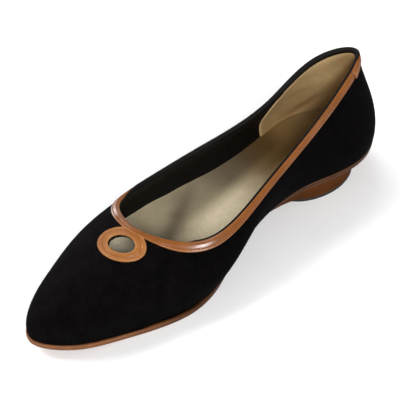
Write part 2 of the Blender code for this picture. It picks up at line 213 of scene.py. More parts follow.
@dataclass
class Surface:
    """Points in millimetres, blocks of faces with equal corner counts, and values marked on the points."""

    points: Array
    faces: list[Array]
    marks: dict[str, Array] = field(default_factory=dict)

    def outward(self) -> "Surface":
        """The closed surface with its faces turned outward, by the sign of the volume that they hold."""
        middle = self.points.mean(axis=0)
        volume = 0.0
        for block in self.faces:
            first = np.broadcast_to(block[:, :1], block[:, 2:].shape)
            fan = np.stack([first, block[:, 1:-1], block[:, 2:]], axis=-1)
            a, b, c = (self.points[fan[..., i]] - middle for i in range(3))
            volume += float(np.einsum("...i,...i", a, np.cross(b, c)).sum())
        if volume < 0:
            self.faces = [block[:, ::-1] for block in self.faces]
        return self

    def compact(self) -> "Surface":
        """The surface without points that no face uses."""
        used = np.unique(np.concatenate([block.ravel() for block in self.faces]))
        place = np.zeros(len(self.points), int)
        place[used] = np.arange(len(used))
        marks = {name: values[used] for name, values in self.marks.items()}
        return Surface(self.points[used], [place[block] for block in self.faces], marks)


def swept(points: Array, marks: dict[str, Array]) -> Surface:
    """A closed profile carried along a closed path.

    Args:
        points: Rows are points of the profile, and columns lie on the path.
        marks: Values for the points, by row, by column or both.

    Returns:
        The closed surface.
    """
    rows, columns = points.shape[:2]
    flat = {name: np.broadcast_to(values, (rows, columns)).ravel() for name, values in marks.items()}
    return Surface(points.reshape(-1, 3), [grid_faces(rows, columns, True, True)], flat).outward()


def level(height: float) -> Height:
    """A level surface."""
    return lambda x, y: np.full(np.shape(x), height)


def plate(rings: Array, top: Height, bottom: Height, across: int, edge: Array) -> Surface:
    """A solid plate: edge rings from its top to its bottom, closed on each side by rungs across it.

    A rung joins each point of a ring to the one over from it on the other side, point 0 being the back and
    the middle point the toe, and the points on it take the height of that side's surface.

    Args:
        rings: Rings by points by coordinates.
        top: Height of the upper side.
        bottom: Height of the lower side.
        across: Number of steps in a rung.
        edge: One edge mark for each ring.

    Returns:
        The closed surface.
    """
    count, around = rings.shape[:2]
    half = around // 2
    outer = np.arange(1, half)
    inner = around - outer
    share = np.linspace(0, 1, across + 1)[1:-1, None]
    points, marks = [rings.reshape(-1, 3)], [np.repeat(edge, around)]
    sides, tips = [grid_faces(count, around, wrap_columns=True)], []
    for ring, height in ((0, top), (count - 1, bottom)):
        start, spare = ring * around, sum(map(len, points))
        rungs = rings[ring, outer, None, :2] * (1 - share) + rings[ring, inner, None, :2] * share
        inside = np.concatenate([rungs, height(rungs[..., 0], rungs[..., 1])[..., None]], axis=-1)
        number = spare + np.arange(inside[..., 0].size).reshape(inside.shape[:2])
        rows = np.column_stack([start + outer, number, start + inner])
        back = np.stack([np.full(across, start), rows[0, 1:], rows[0, :-1]], axis=-1)
        toe = np.stack([np.full(across, start + half), rows[-1, :-1], rows[-1, 1:]], axis=-1)
        order = slice(None, None, 1 if ring else -1)
        sides.append(quads(rows)[:, order])
        tips += [back[:, order], toe[:, order]]
        points.append(inside.reshape(-1, 3))
        marks.append(np.full(number.size, edge[ring]))
    faces = [np.vstack(sides), np.vstack(tips)]
    return Surface(np.vstack(points), faces, {"edge": np.concatenate(marks)}).outward()


@dataclass(frozen=True)
class Stitch:
    """A sewn stitch: distance to the next one, length, radius of the thread, and how deep its ends dive."""

    pitch: float
    length: float
    radius: float = 0.2
    dive: float = 1.6
    rings: int = 6
    sides: int = 6

    def row(self, middles: Array, along: Array, out: Array) -> Surface:
        """A row of stitches, each a spindle whose ends dive into the leather.

        The radius is the root of one less the fourth power of the way from the middle, and the axis drops
        with the square of that way.

        Args:
            middles: Middle of each stitch.
            along: Unit vectors along the stitches.
            out: Unit vectors out of the leather.

        Returns:
            All stitches as one surface of closed spindles.
        """
        way = np.linspace(-1, 1, self.rings)[:, None, None]
        angle = (np.arange(self.sides) / self.sides * 2 * math.pi)[None, :, None]
        swell = self.radius * np.maximum(1 - way**4, 0.08) ** 0.5
        middles, along, out = (vectors[:, None, None] for vectors in (middles, along, out))
        shape = (
            middles
            + along * way * self.length / 2
            + (np.cross(out, along) * np.cos(angle) + out * np.sin(angle)) * swell
            - out * self.dive * self.radius * way**2
        )
        start = np.arange(len(middles))[:, None] * self.rings * self.sides
        tube = start[..., None] + grid_faces(self.rings, self.sides, wrap_columns=True)
        first = start + np.arange(self.sides)
        ends = np.vstack([first[:, ::-1], first + (self.rings - 1) * self.sides])
        return Surface(shape.reshape(-1, 3), [tube.reshape(-1, 4), ends]).outward()


ROLL_STITCH = Stitch(2.3, 1.6)
STRIP_STITCH = Stitch(2.1, 1.55)
RING_STITCH = Stitch(2.0, 1.5)


# The last


class Station(NamedTuple):
    """One section of the upper.

    x and top_x are percent of the length, y and top_y percent of the ball width, top_z percent of the
    back height. lean is how far the wall flares out at the feather line and top_lean how far it folds
    in at the topline, in degrees from upright. belly and pull are how far the section keeps those
    directions, as shares of its height. band is the width of the binding in millimetres, and welt how far
    the sole's edge stands out from the feather line, or is tucked in where it is negative.
    """

    x: float
    y: float
    lean: float
    belly: float
    top_x: float
    top_y: float
    top_z: float
    top_lean: float
    pull: float
    band: float
    welt: float


STATIONS: dict[str, Station] = {
    "back": Station(0.0, 0.4, 11, 0.36, 3.2, 0.0, 100.0, 10, 0.35, 5.2, -0.3),
    "outer_heel": Station(8.6, -31.9, 14, 0.40, 10.2, -18.2, 93.8, 13, 0.35, 5.2, -0.2),
    "outer_seat": Station(24.0, -36.3, 12, 0.40, 23.7, -23.5, 71.3, 13, 0.35, 4.9, -0.4),
    "outer_waist": Station(41.8, -43.5, 14, 0.42, 41.1, -32.3, 54.8, 15, 0.35, 4.9, -2.2),
    "outer_ball": Station(62.1, -50.2, 14, 0.43, 56.6, -34.6, 51.3, 26, 0.40, 5.2, 1.2),
    "outer_vamp": Station(78.8, -39.2, 14, 0.36, 66.2, -27.0, 55.8, 47, 0.45, 5.6, 1.1),
    "outer_toe": Station(92.0, -19.1, 12, 0.28, 69.4, -10.5, 61.2, 68, 0.55, 5.0, 0.9),
    "toe": Station(100.0, 5.8, 12, 0.24, 69.8, 4.1, 62.4, 72, 0.60, 4.2, 0.9),
    "inner_toe": Station(95.3, 25.3, 13, 0.29, 68.6, 15.0, 61.4, 70, 0.56, 4.2, 1.0),
    "inner_vamp": Station(82.4, 39.4, 13, 0.37, 64.8, 30.1, 57.7, 53, 0.44, 6.0, 1.3),
    "inner_ball": Station(66.1, 50.3, 20, 0.38, 57.2, 42.2, 53.9, 38, 0.53, 6.0, 1.9),
    "inner_waist": Station(45.3, 33.5, 25, 0.38, 40.4, 35.5, 62.9, 15, 0.39, 4.7, -2.8),
    "inner_seat": Station(25.7, 27.7, 16, 0.40, 24.2, 25.4, 77.9, 13, 0.34, 4.7, 0.0),
    "inner_heel": Station(8.2, 30.8, 14, 0.39, 11.8, 18.1, 96.8, 13, 0.35, 5.0, -0.1),
}
TOE_ROW = list(STATIONS).index("toe")


@dataclass(frozen=True)
class Last:
    """The form under the shoe: feather line, topline and the wall between them.

    A turn goes around the shoe, from 0 at the back along the outer side to 0.5 at the toe and home along
    the inner side. A climb goes up a section of the wall, from 0 at the feather line to 1 at the topline.
    """

    length: float = 250.0
    ball_width: float = 78.0
    back_height: float = 77.4
    seat_height: float = 20.5
    tread_height: float = 3.9
    toe_spring: float = 8.0
    arch_twist: float = 4.0
    arch_middle: float = 92.0
    arch_reach: float = 48.0
    arch_side: float = 30.0
    section_steps: int = 120

    @cached_property
    def table(self) -> Array:
        """The stations in millimetres, degrees and shares."""
        long, wide, high = self.length / 100, self.ball_width / 100, self.back_height / 100
        units = Station(long, wide, 1, 1, long, wide, high, 1, 1, 1, 1)
        return np.array(list(STATIONS.values()), float) * units

    @cached_property
    def turns(self) -> Array:
        """Where each station lies around the shoe, in proportion to the way along both rims."""
        rims = self.table[:, self.columns("x", "y", "top_x", "top_y")]
        way = np.append(0.0, np.cumsum(np.linalg.norm(np.roll(rims, -1, axis=0) - rims, axis=1)))
        outer = 0.5 * way / way[TOE_ROW]
        inner = 0.5 + 0.5 * (way - way[TOE_ROW]) / (way[-1] - way[TOE_ROW])
        return np.where(way <= way[TOE_ROW], outer, inner)[:-1]

    @staticmethod
    def columns(*names: str) -> list[int]:
        """Numbers of named station columns."""
        return [Station._fields.index(name) for name in names]

    def at(self, turn: Array, *names: str) -> Array:
        """Named station columns at any turn."""
        return closed_spline(self.turns, self.table[:, self.columns(*names)], turn)

    def band(self, turn: Array) -> Array:
        """Width of the binding at any turn."""
        return self.at(turn, "band")[..., 0]

    def welt(self, turn: Array) -> Array:
        """How far the sole's edge stands out from the feather line at any turn."""
        return self.at(turn, "welt")[..., 0]

    @staticmethod
    def outer_side(turn: Array) -> Array:
        """1 along the outer side and the back, 0 along the inner side and the throat, with soft ends."""
        side = np.mod(turn + 0.5, 1.0) - 0.5
        return ramp(side, -0.030, -0.005) * ramp(side, 0.390, 0.345)

    @staticmethod
    def throat(turn: Array) -> Array:
        """1 along the front of the throat and 0 elsewhere, with soft ends."""
        return ramp(turn, 0.400, 0.430) * ramp(turn, 0.635, 0.600)

    def feather_height(self, x: Array, y: Array) -> Array:
        """Height of the surface under the foot: the side profile, raised at the inner side of the arch.

        Args:
            x: Places along the shoe.
            y: Places across it.

        Returns:
            Heights above the floor.
        """
        seat, tread = self.seat_height, self.tread_height
        percent = (0, 18, 40, 60, 76, 100)
        heights = (0.92 * seat, seat, 0.63 * seat, tread, tread, tread + self.toe_spring)
        profile = np.column_stack([np.array(percent) * self.length / 100, heights])
        arch = np.clip(1 - ((x - self.arch_middle) / self.arch_reach) ** 2, 0, 1) ** 2
        return rising_curve(profile, x) + self.arch_twist * arch * y / self.arch_side

    def feather_line(self, turn: Array) -> Array:
        """Points of the line where upper and sole meet."""
        plan = self.at(turn, "x", "y")
        return np.concatenate([plan, self.feather_height(plan[..., 0], plan[..., 1])[..., None]], axis=-1)

    def topline(self, turn: Array) -> Array:
        """Points of the upper's open edge."""
        return self.at(turn, "top_x", "top_y", "top_z")

    @staticmethod
    def sideways(curve: Callable[[Array], Array], turn: Array) -> Array:
        """Level unit vectors that point out of a closed curve around the shoe."""
        along = curve(turn + TINY) - curve(turn - TINY)
        return unit(np.stack([along[..., 1], -along[..., 0], np.zeros_like(along[..., 0])], axis=-1))

    def beside_feather(self, turn: Array, out: Array | float) -> Array:
        """Plan points beside the feather line, out from it or in where out is negative."""
        out = np.asarray(out, float)[..., None]
        return (self.feather_line(turn) + self.sideways(self.feather_line, turn) * out)[..., :2]

    def wall(self, turn: Array, climb: Array) -> Array:
        """Outer wall: each section is a cubic Bezier curve from the feather line to the topline.

        Its first handle leans out by the station's lean and reaches belly times the height, and its second
        folds in by top_lean and reaches pull times the height.

        Args:
            turn: Turns around the shoe.
            climb: Climbs up the wall, broadcast with the turns.

        Returns:
            Points of the wall.
        """
        s = climb[..., None]
        start, end = self.feather_line(turn), self.topline(turn)
        height = np.linalg.norm(end - start, axis=-1, keepdims=True)
        lean, top_lean = (np.radians(self.at(turn, name)) for name in ("lean", "top_lean"))
        leaving = np.cos(lean) * UP + np.sin(lean) * self.sideways(self.feather_line, turn)
        arriving = np.cos(top_lean) * UP - np.sin(top_lean) * self.sideways(self.topline, turn)
        first = start + leaving * self.at(turn, "belly") * height
        second = end - arriving * self.at(turn, "pull") * height
        return (1 - s) ** 3 * start + 3 * (1 - s) ** 2 * s * first + 3 * (1 - s) * s**2 * second + s**3 * end

    def normal(self, turn: Array, climb: Array) -> Array:
        """Unit vectors that point out of the wall."""
        around = self.wall(turn + TINY, climb) - self.wall(turn - TINY, climb)
        upward = self.wall(turn, climb + TINY) - self.wall(turn, climb - TINY)
        return unit(np.cross(around, upward))

    def off_wall(self, turn: Array, climb: Array, lift: Array | float) -> Array:
        """Points at a distance out from the wall, or in from it where lift is negative."""
        return self.wall(turn, climb) + self.normal(turn, climb) * np.asarray(lift, float)[..., None]

    def climb_at(self, turn: Array, drop: Array) -> Array:
        """Climbs at which the wall is drop millimetres below the topline, along its section.

        The section is walked down in short steps, and the climb is read between the two steps beside the
        drop, or in line with the first step where the drop is negative.

        Args:
            turn: Turns, one for each column.
            drop: Distances below the topline, rows by columns.

        Returns:
            Climbs of the same shape as drop; above the topline they run on past 1.
        """
        steps = self.section_steps
        section = self.wall(turn[:, None], np.linspace(1.0, 0.0, steps + 1)[None])
        way = np.linalg.norm(np.diff(section, axis=1), axis=2)
        below = np.concatenate([np.zeros((len(turn), 1)), np.cumsum(way, axis=1)], axis=1)
        step = np.clip((below <= drop[..., None]).sum(axis=2) - 1, 0, steps - 1)
        column = np.arange(len(turn))
        start, end = below[column, step], below[column, step + 1]
        return np.maximum(1 - (step + (drop - start) / (end - start)) / steps, 0.0)

    def sewn(self, stitch: Stitch, drop: Array | float, lift: float, facing: float = 1.0) -> Surface:
        """A row of stitches around the whole topline, evenly spaced.

        Args:
            stitch: The stitch.
            drop: Distance below the topline, the same all round or one for each of the fine turns.
            lift: Distance out from the wall.
            facing: 1 to face out of the shoe, -1 to face into it.

        Returns:
            The stitches.
        """
        climb = self.climb_at(FINE_TURNS, np.broadcast_to(drop, (1, len(FINE_TURNS))))[0]
        places = evenly(self.off_wall(FINE_TURNS, climb, lift), stitch.pitch)
        turn, at = (np.interp(places, np.arange(len(FINE_TURNS)), line) for line in (FINE_TURNS, climb))
        along = unit(self.off_wall(turn + TINY, at, lift) - self.off_wall(turn - TINY, at, lift))
        return stitch.row(self.off_wall(turn, at, lift), along, facing * self.normal(turn, at))


@dataclass(frozen=True)
class VampOval:
    """The oval hole in the vamp: a flat frame on the wall, measured along the foot and across it."""

    last: Last
    middle: tuple[float, float] = (186.2, 6.7)
    hole_half: tuple[float, float] = (5.3, 7.9)
    ring_half: tuple[float, float] = (10.5, 14.4)
    turned: float = math.radians(26.0)
    clearance: float = 0.1
    search_start: tuple[float, float] = (0.5, 0.8)
    search_rounds: int = 12

    @cached_property
    def axes(self) -> tuple[Array, Array, Array, Array]:
        """Middle of the oval on the wall, and unit vectors along the foot, across it and out of it."""
        turn, climb = self.find(np.array([self.middle]), lambda points: points[..., :2])
        out = self.last.normal(turn, climb)[0]
        forward = np.array([math.cos(self.turned), math.sin(self.turned), 0.0])
        forward = unit(forward - out * forward.dot(out))
        return self.last.wall(turn, climb)[0], forward, np.cross(out, forward), out

    def measure(self, points: Array) -> Array:
        """Distances of points from the oval's middle, along the foot and across it."""
        middle, forward, across, _ = self.axes
        return np.stack([(points - middle) @ forward, (points - middle) @ across], axis=-1)

    def find(self, places: Array, measure: Callable[[Array], Array] | None = None) -> tuple[Array, Array]:
        """Finds wall points by two measures, by Newton's method from the top of the vamp.

        Args:
            places: The two measures of each point.
            measure: Takes points and gives their two measures; the oval's own if it isn't given.

        Returns:
            Turns and climbs of the points.
        """
        measure = measure or self.measure
        turn, climb = np.repeat(np.array(self.search_start)[:, None], len(places), axis=1)
        for _ in range(self.search_rounds):
            here = measure(self.last.wall(turn, climb))
            by_turn = (measure(self.last.wall(turn + TINY, climb)) - here) / TINY
            by_climb = (measure(self.last.wall(turn, climb + TINY)) - here) / TINY
            steps = np.linalg.solve(np.stack([by_turn, by_climb], axis=-1), (places - here)[..., None])
            turn, climb = turn + steps[:, 0, 0], climb + steps[:, 1, 0]
        return turn, climb

    def cut(self, turn: Array, climb: Array, faces: Array) -> tuple[Array, Array, Array]:
        """Cuts the hole out of a grid on the wall, with the edge drawn onto the oval.

        A face goes when all its corners lie inside the oval, and a corner that stays inside it is moved
        straight out from the oval's middle until it is on the line.

        Args:
            turn: Turn of each grid point.
            climb: Climb of each grid point.
            faces: Quads of the grid.

        Returns:
            The turns and climbs with the moved corners, and the faces that are left.
        """
        half = np.array(self.hole_half) + self.clearance
        points = self.last.wall(turn, climb)
        middle, _, _, out = self.axes
        places = self.measure(points)
        share = np.linalg.norm(places / half, axis=1)
        share = np.where(np.abs((points - middle) @ out) < half.max(), share, np.inf)
        kept = faces[(share[faces] >= 1).any(axis=1)]
        edge = np.unique(kept[share[kept] < 1])
        turn, climb = turn.copy(), climb.copy()
        turn[edge], climb[edge] = self.find(places[edge] / share[edge, None])
        return turn, climb, kept


# Shader nodes


@dataclass
class NodeSheet:
    """Adds nodes to one tree, with their inputs set or linked by name."""

    tree: bpy.types.NodeTree

    def give(self, node: Node, inputs: dict) -> None:
        """Links sockets to a node's inputs, and sets plain values on them.

        Args:
            node: The node.
            inputs: Values or output sockets by input name or number.
        """
        for key, value in inputs.items():
            if isinstance(value, Socket):
                self.tree.links.new(value, node.inputs[key])
            else:
                node.inputs[key].default_value = value

    def add(self, kind: str, inputs: dict | None = None, **settings: object) -> Node:
        """Adds a node.

        Args:
            kind: Blender's name of the node type.
            inputs: Values or output sockets by input name or number.
            settings: Properties of the node.

        Returns:
            The node.
        """
        node = self.tree.nodes.new(kind)
        for name, value in settings.items():
            setattr(node, name, value)
        self.give(node, inputs or {})
        return node

    def math(self, operation: str, first: object, second: object) -> Socket:
        """Result of a Math node."""
        return self.add("ShaderNodeMath", {0: first, 1: second}, operation=operation).outputs[0]

    def mix(self, share: object, first: object, second: object, blend: str = "MIX") -> Socket:
        """Result of mixing two colours."""
        inputs = {"Factor": share, 6: first, 7: second}
        return self.add("ShaderNodeMix", inputs, data_type="RGBA", blend_type=blend).outputs[2]

    def times(self, first: object, second: object) -> Socket:
        """A colour multiplied by a colour or a value."""
        return self.mix(1.0, first, second, "MULTIPLY")

    def spread(self, value: Socket, low: float, high: float, to_low: float, to_high: float) -> Socket:
        """Value carried from one range to another and held there."""
        inputs = {"Value": value, "From Min": low, "From Max": high, "To Min": to_low, "To Max": to_high}
        return self.add("ShaderNodeMapRange", inputs).outputs[0]

    def noise(self, place: Socket, scale: object, detail: float = 2.0, rough: float = 0.5) -> Socket:
        """Soft noise from 0 to 1 at a place."""
        inputs = {"Vector": place, "Scale": scale, "Detail": detail, "Roughness": rough}
        return self.add("ShaderNodeTexNoise", inputs).outputs["Fac"]

    def bump(self, height: Socket, depth: float) -> Socket:
        """Normal of a Bump node, its depth in millimetres."""
        inputs = {"Height": height, "Distance": depth * MM, "Strength": 1.0}
        return self.add("ShaderNodeBump", inputs).outputs["Normal"]

    def place(self) -> Socket:
        """Object coordinates, which are metres in the shoe's frame."""
        return self.add("ShaderNodeTexCoord").outputs["Object"]

    def mark(self, name: str) -> Socket:
        """A value that the piece carries on its points."""
        return self.add("ShaderNodeAttribute", attribute_name=name).outputs["Fac"]

    def lay(self) -> Socket:
        """Metres along the piece and up it, for patterns that follow the surface."""
        return self.add("ShaderNodeAttribute", attribute_name="lay").outputs["Vector"]


class Effect(ABC):
    """A shader node group that several finishes share, made once."""

    name: str
    inputs: dict[str, str]
    outputs: dict[str, str]

    @classmethod
    def tree(cls) -> bpy.types.NodeTree:
        """The group, made on first use."""
        made = bpy.data.node_groups.get(cls.name)
        if made is None:
            made = bpy.data.node_groups.new(cls.name, "ShaderNodeTree")
            for sockets, way in ((cls.inputs, "INPUT"), (cls.outputs, "OUTPUT")):
                for socket, kind in sockets.items():
                    made.interface.new_socket(socket, in_out=way, socket_type=f"NodeSocket{kind}")
            sheet = NodeSheet(made)
            sheet.add("NodeGroupOutput", cls.wire(sheet, sheet.add("NodeGroupInput").outputs))
        return made

    @classmethod
    @abstractmethod
    def wire(cls, sheet: NodeSheet, given: Mapping[str, Socket]) -> dict[str, Socket]:
        """Wires the group.

        Args:
            sheet: Sheet of the group's tree.
            given: The group's inputs by name.

        Returns:
            The group's outputs by name.
        """

    @classmethod
    def use(cls, sheet: NodeSheet, **values: object) -> Mapping[str, Socket]:
        """Places the group in a material, with values or sockets for its inputs, and gives its outputs."""
        return sheet.add("ShaderNodeGroup", values, node_tree=cls.tree()).outputs


class LeatherGrain(Effect):
    """Pebbled leather: rounded cells with pores between them, broken up by finer noise."""

    name = "leather_grain"
    inputs = {"Place": "Vector", "Cells": "Float", "Pebble": "Float"}
    outputs = {"Height": "Float", "Pores": "Float"}

    @classmethod
    def wire(cls, sheet: NodeSheet, given: Mapping[str, Socket]) -> dict[str, Socket]:
        """Edges of shifted cells give the pores, and noise at twice the cell count gives the rest.

        Args:
            sheet: Sheet of the group's tree.
            given: The group's inputs by name.

        Returns:
            The group's outputs by name.
        """
        place, cells = given["Place"], given["Cells"]
        inputs = {"Vector": place, "Scale": cells, "Detail": 2.0}
        warp = sheet.add("ShaderNodeTexNoise", inputs).outputs["Color"]
        shift = sheet.add("ShaderNodeVectorMath", {0: warp, "Scale": 0.0006}, operation="SCALE").outputs[0]
        moved = sheet.add("ShaderNodeVectorMath", {0: place, 1: shift}, operation="ADD").outputs[0]
        inputs = {"Vector": moved, "Scale": cells}
        cell = sheet.add("ShaderNodeTexVoronoi", inputs, feature="DISTANCE_TO_EDGE").outputs["Distance"]
        pores = sheet.spread(cell, 0.0, 0.16, 1.0, 0.0)
        fine = sheet.noise(place, sheet.math("MULTIPLY", cells, 2.3), 4.0, 0.6)
        pebble = sheet.math("MULTIPLY", sheet.math("SUBTRACT", 1.0, pores), given["Pebble"])
        return {"Height": sheet.math("ADD", pebble, fine), "Pores": pores}


class ToneDrift(Effect):
    """Slow drift of a colour between a lighter and a darker tone, as dyed hide shows."""

    name = "tone_drift"
    inputs = {"Place": "Vector", "Patches": "Float", "Dark": "Color", "Light": "Color"}
    outputs = {"Colour": "Color", "Tone": "Float"}

    @classmethod
    def wire(cls, sheet: NodeSheet, given: Mapping[str, Socket]) -> dict[str, Socket]:
        """Two noises, one four times finer, choose between the two tones.

        Args:
            sheet: Sheet of the group's tree.
            given: The group's inputs by name.

        Returns:
            The group's outputs by name.
        """
        place, patches = given["Place"], given["Patches"]
        wide = sheet.noise(place, patches, 3.0)
        fine = sheet.noise(place, sheet.math("MULTIPLY", patches, 4.0), 3.0, 0.65)
        both = sheet.math("ADD", sheet.math("MULTIPLY", wide, 0.65), sheet.math("MULTIPLY", fine, 0.35))
        tone = sheet.spread(both, 0.34, 0.66, 0.0, 1.0)
        return {"Colour": sheet.mix(tone, given["Dark"], given["Light"]), "Tone": tone}


class EdgeWearAndLight(Effect):
    """Edges rubbed to another tone, unevenly, where the piece is marked as edge; on some pieces the mark is
    painted light.
    """

    name = "edge_wear_and_light"
    inputs = {"Place": "Vector", "Colour": "Color", "WornAndLit": "Color", "Edge": "Float", "Amount": "Float"}
    outputs = {"Colour": "Color", "Wear": "Float"}

    @classmethod
    def wire(cls, sheet: NodeSheet, given: Mapping[str, Socket]) -> dict[str, Socket]:
        """The edge mark, broken by noise and scaled by the amount, mixes in the worn tone, which is painted
        light on some pieces.

        Args:
            sheet: Sheet of the group's tree.
            given: The group's inputs by name.

        Returns:
            The group's outputs by name.
        """
        rub = sheet.spread(sheet.noise(given["Place"], 420.0, 4.0, 0.7), 0.3, 0.7, 0.45, 1.0)
        wear = sheet.math("MULTIPLY", sheet.math("MULTIPLY", given["Edge"], rub), given["Amount"])
        return {"Colour": sheet.mix(wear, given["Colour"], given["WornAndLit"]), "Wear": wear}


class FibreLines(Effect):
    """Fine lines that run along a cut leather edge, from its pressed layers."""

    name = "fibre_lines"
    inputs = {"Lay": "Vector", "Lines": "Float"}
    outputs = {"Line": "Float"}

    @classmethod
    def wire(cls, sheet: NodeSheet, given: Mapping[str, Socket]) -> dict[str, Socket]:
        """Noise stretched forty times along the piece, at the given number of lines per metre."""
        stretched = sheet.add("ShaderNodeMapping", {"Vector": given["Lay"], "Scale": (0.025, 1.0, 1.0)})
        return {"Line": sheet.noise(stretched.outputs[0], given["Lines"], 3.0, 0.6)}


# Finishes


def opaque(colour: Triple) -> tuple[float, float, float, float]:
    """The colour as a node takes it."""
    return (*colour, 1.0)


@dataclass(frozen=True)
class Finish(ABC):
    """How one kind of surface looks."""

    name: str

    def material(self) -> bpy.types.Material:
        """The material, made on first use."""
        made = bpy.data.materials.get(self.name)
        if made is None:
            made = bpy.data.materials.new(self.name)
            made.use_nodes = True
            sheet = NodeSheet(made.node_tree)
            sheet.give(made.node_tree.nodes["Principled BSDF"], self.wire(sheet))
        return made

    @abstractmethod
    def wire(self, sheet: NodeSheet) -> dict[str, object]:
        """Wires the material.

        Args:
            sheet: Sheet of the material.

        Returns:
            Sockets and plain values for its Principled shader, by input name.
        """


@dataclass(frozen=True)
class SuedeFinish(Finish):
    """Black suede: a short matt nap, brushed in patches, that lights up at the turn of the form."""

    dark: Triple = (0.0024, 0.0020, 0.0020)
    light: Triple = (0.0045, 0.0038, 0.0039)
    sheen: float = 0.005
    sheen_tint: Triple = (0.75, 0.72, 0.74)
    patches: float = 120.0
    depth: float = 0.25

    def wire(self, sheet: NodeSheet) -> dict[str, object]:
        """Brushed patches choose the tone, and two fine noises make the nap's colour and bump.

        Args:
            sheet: Sheet of the material.

        Returns:
            Sockets and plain values for its Principled shader, by input name.
        """
        place = sheet.place()
        tones = {"Dark": opaque(self.dark), "Light": opaque(self.light)}
        brushed = ToneDrift.use(sheet, Place=place, Patches=self.patches, **tones)
        nap = sheet.noise(place, 1500.0, 3.0, 0.7)
        fibre = sheet.noise(place, 4200.0, 2.0, 0.6)
        speck = sheet.spread(nap, 0.3, 0.72, 0.55, 1.75)
        # The edge mark lightens the nap: rubbed nap and painted light.
        rubbed_and_lit = sheet.math("MULTIPLY", speck, sheet.spread(sheet.mark("edge"), 0.0, 1.0, 0.55, 1.15))
        height = sheet.math("ADD", nap, sheet.math("MULTIPLY", fibre, 0.6))
        return {
            "Base Color": sheet.times(brushed["Colour"], rubbed_and_lit),
            "Roughness": sheet.spread(brushed["Tone"], 0.0, 1.0, 0.88, 0.98),
            "Normal": sheet.bump(height, self.depth),
            "Specular IOR Level": 0.01,
            "Sheen Weight": self.sheen,
            "Sheen Roughness": 0.45,
            "Sheen Tint": opaque(self.sheen_tint),
        }


@dataclass(frozen=True)
class LeatherFinish(Finish):
    """Leather with grain, drifting tone, rubbed edges, and painted light and shade where it is marked."""

    dark: Triple
    light: Triple
    worn_and_lit: Triple
    wear: float
    roughness: float
    cells: float
    pebble: float
    depth: float
    coat: float = 0.0
    polished: bool = False
    gloss: float = 0.4
    lines: float = 0.0
    patches: float = 28.0
    shade: Triple = (0.62, 0.56, 0.50)
    # tint of the painted shadow mark
    painted_shadow: Triple = (0.40, 0.37, 0.38)

    def wire(self, sheet: NodeSheet) -> dict[str, object]:
        """Tone drift, then edge wear and painted light, pores, and marks of painted shade; grain makes the
        bump, and places with edge wear and painted light shine more.

        Args:
            sheet: Sheet of the material.

        Returns:
            Sockets and plain values for its Principled shader, by input name.
        """
        place = sheet.place()
        tones = {"Dark": opaque(self.dark), "Light": opaque(self.light)}
        wear = {"WornAndLit": opaque(self.worn_and_lit), "Edge": sheet.mark("edge"), "Amount": self.wear}
        grain = LeatherGrain.use(sheet, Place=place, Cells=self.cells, Pebble=self.pebble)
        drift = ToneDrift.use(sheet, Place=place, Patches=self.patches, **tones)
        rubbed_and_lit = EdgeWearAndLight.use(sheet, Place=place, Colour=drift["Colour"], **wear)
        colour, height, coat = rubbed_and_lit["Colour"], grain["Height"], self.coat
        if self.lines:
            fibre = FibreLines.use(sheet, Lay=sheet.lay(), Lines=self.lines)["Line"]
            colour = sheet.times(colour, sheet.spread(fibre, 0.3, 0.7, 0.72, 1.22))
            height = sheet.math("ADD", height, fibre)
        colour = sheet.times(colour, sheet.spread(grain["Pores"], 0.0, 1.0, 1.0, 0.82))
        # The fold mark darkens by the shade tint, as painted shade, and the soil mark by its tint, as
        # painted shadow.
        for mark, tint in (("fold_and_shade", self.shade), ("painted_shadow", self.painted_shadow)):
            colour = sheet.mix(sheet.mark(mark), colour, sheet.times(colour, opaque(tint)))
        if self.polished:
            coat = sheet.math("ADD", sheet.math("MULTIPLY", sheet.mark("polish"), 1.0 - coat), coat)
        tone = sheet.spread(grain["Height"], 0.2, 1.4, 0.06, -0.06)
        matt = sheet.math("ADD", sheet.math("MULTIPLY", rubbed_and_lit["Wear"], -0.08), self.roughness)
        return {
            "Base Color": colour,
            "Roughness": sheet.math("ADD", matt, tone),
            "Normal": sheet.bump(height, self.depth),
            "Coat Weight": coat,
            "Specular IOR Level": self.gloss,
            "Coat Roughness": 0.22,
            "Coat IOR": 1.7,
        }


@dataclass(frozen=True)
class PlainFinish(Finish):
    """Rubber, thread or floor: two tones in fine specks over a faint bump."""

    dark: Triple
    light: Triple
    roughness: float
    specks: float
    depth: float

    def wire(self, sheet: NodeSheet) -> dict[str, object]:
        """Noise chooses the tone and lifts the surface, and a slower one moves the roughness.

        Args:
            sheet: Sheet of the material.

        Returns:
            Sockets and plain values for its Principled shader, by input name.
        """
        place = sheet.place()
        speck = sheet.noise(place, self.specks, 4.0, 0.6)
        slow = sheet.noise(place, self.specks / 6, 2.0)
        share = sheet.spread(speck, 0.3, 0.7, 0.0, 1.0)
        return {
            "Base Color": sheet.mix(share, opaque(self.dark), opaque(self.light)),
            "Roughness": sheet.spread(slow, 0.3, 0.7, self.roughness - 0.06, self.roughness + 0.06),
            "Normal": sheet.bump(speck, self.depth),
            "Specular IOR Level": 0.35,
        }


SUEDE = SuedeFinish("black_suede")
TAN = LeatherFinish(
    "tan_calf", (0.16, 0.048, 0.0072), (0.228, 0.071, 0.0125), (0.42, 0.180, 0.065), wear=0.7,
    roughness=0.45, cells=1500.0, pebble=0.35, depth=0.05, coat=0.22, polished=True, gloss=0.05,
)
RING_TAN = replace(
    TAN, name="tan_ring_calf", dark=(0.22, 0.078, 0.016), light=(0.32, 0.118, 0.027),
    worn_and_lit=(0.48, 0.230, 0.090), polished=False,
)
BLACK_LINING = LeatherFinish(
    "black_lining_leather", (0.0026, 0.0021, 0.0018), (0.0062, 0.0051, 0.0042), (0.012, 0.010, 0.008),
    wear=0.3, roughness=0.62, cells=850.0, pebble=0.9, depth=0.12, gloss=0.08,
)
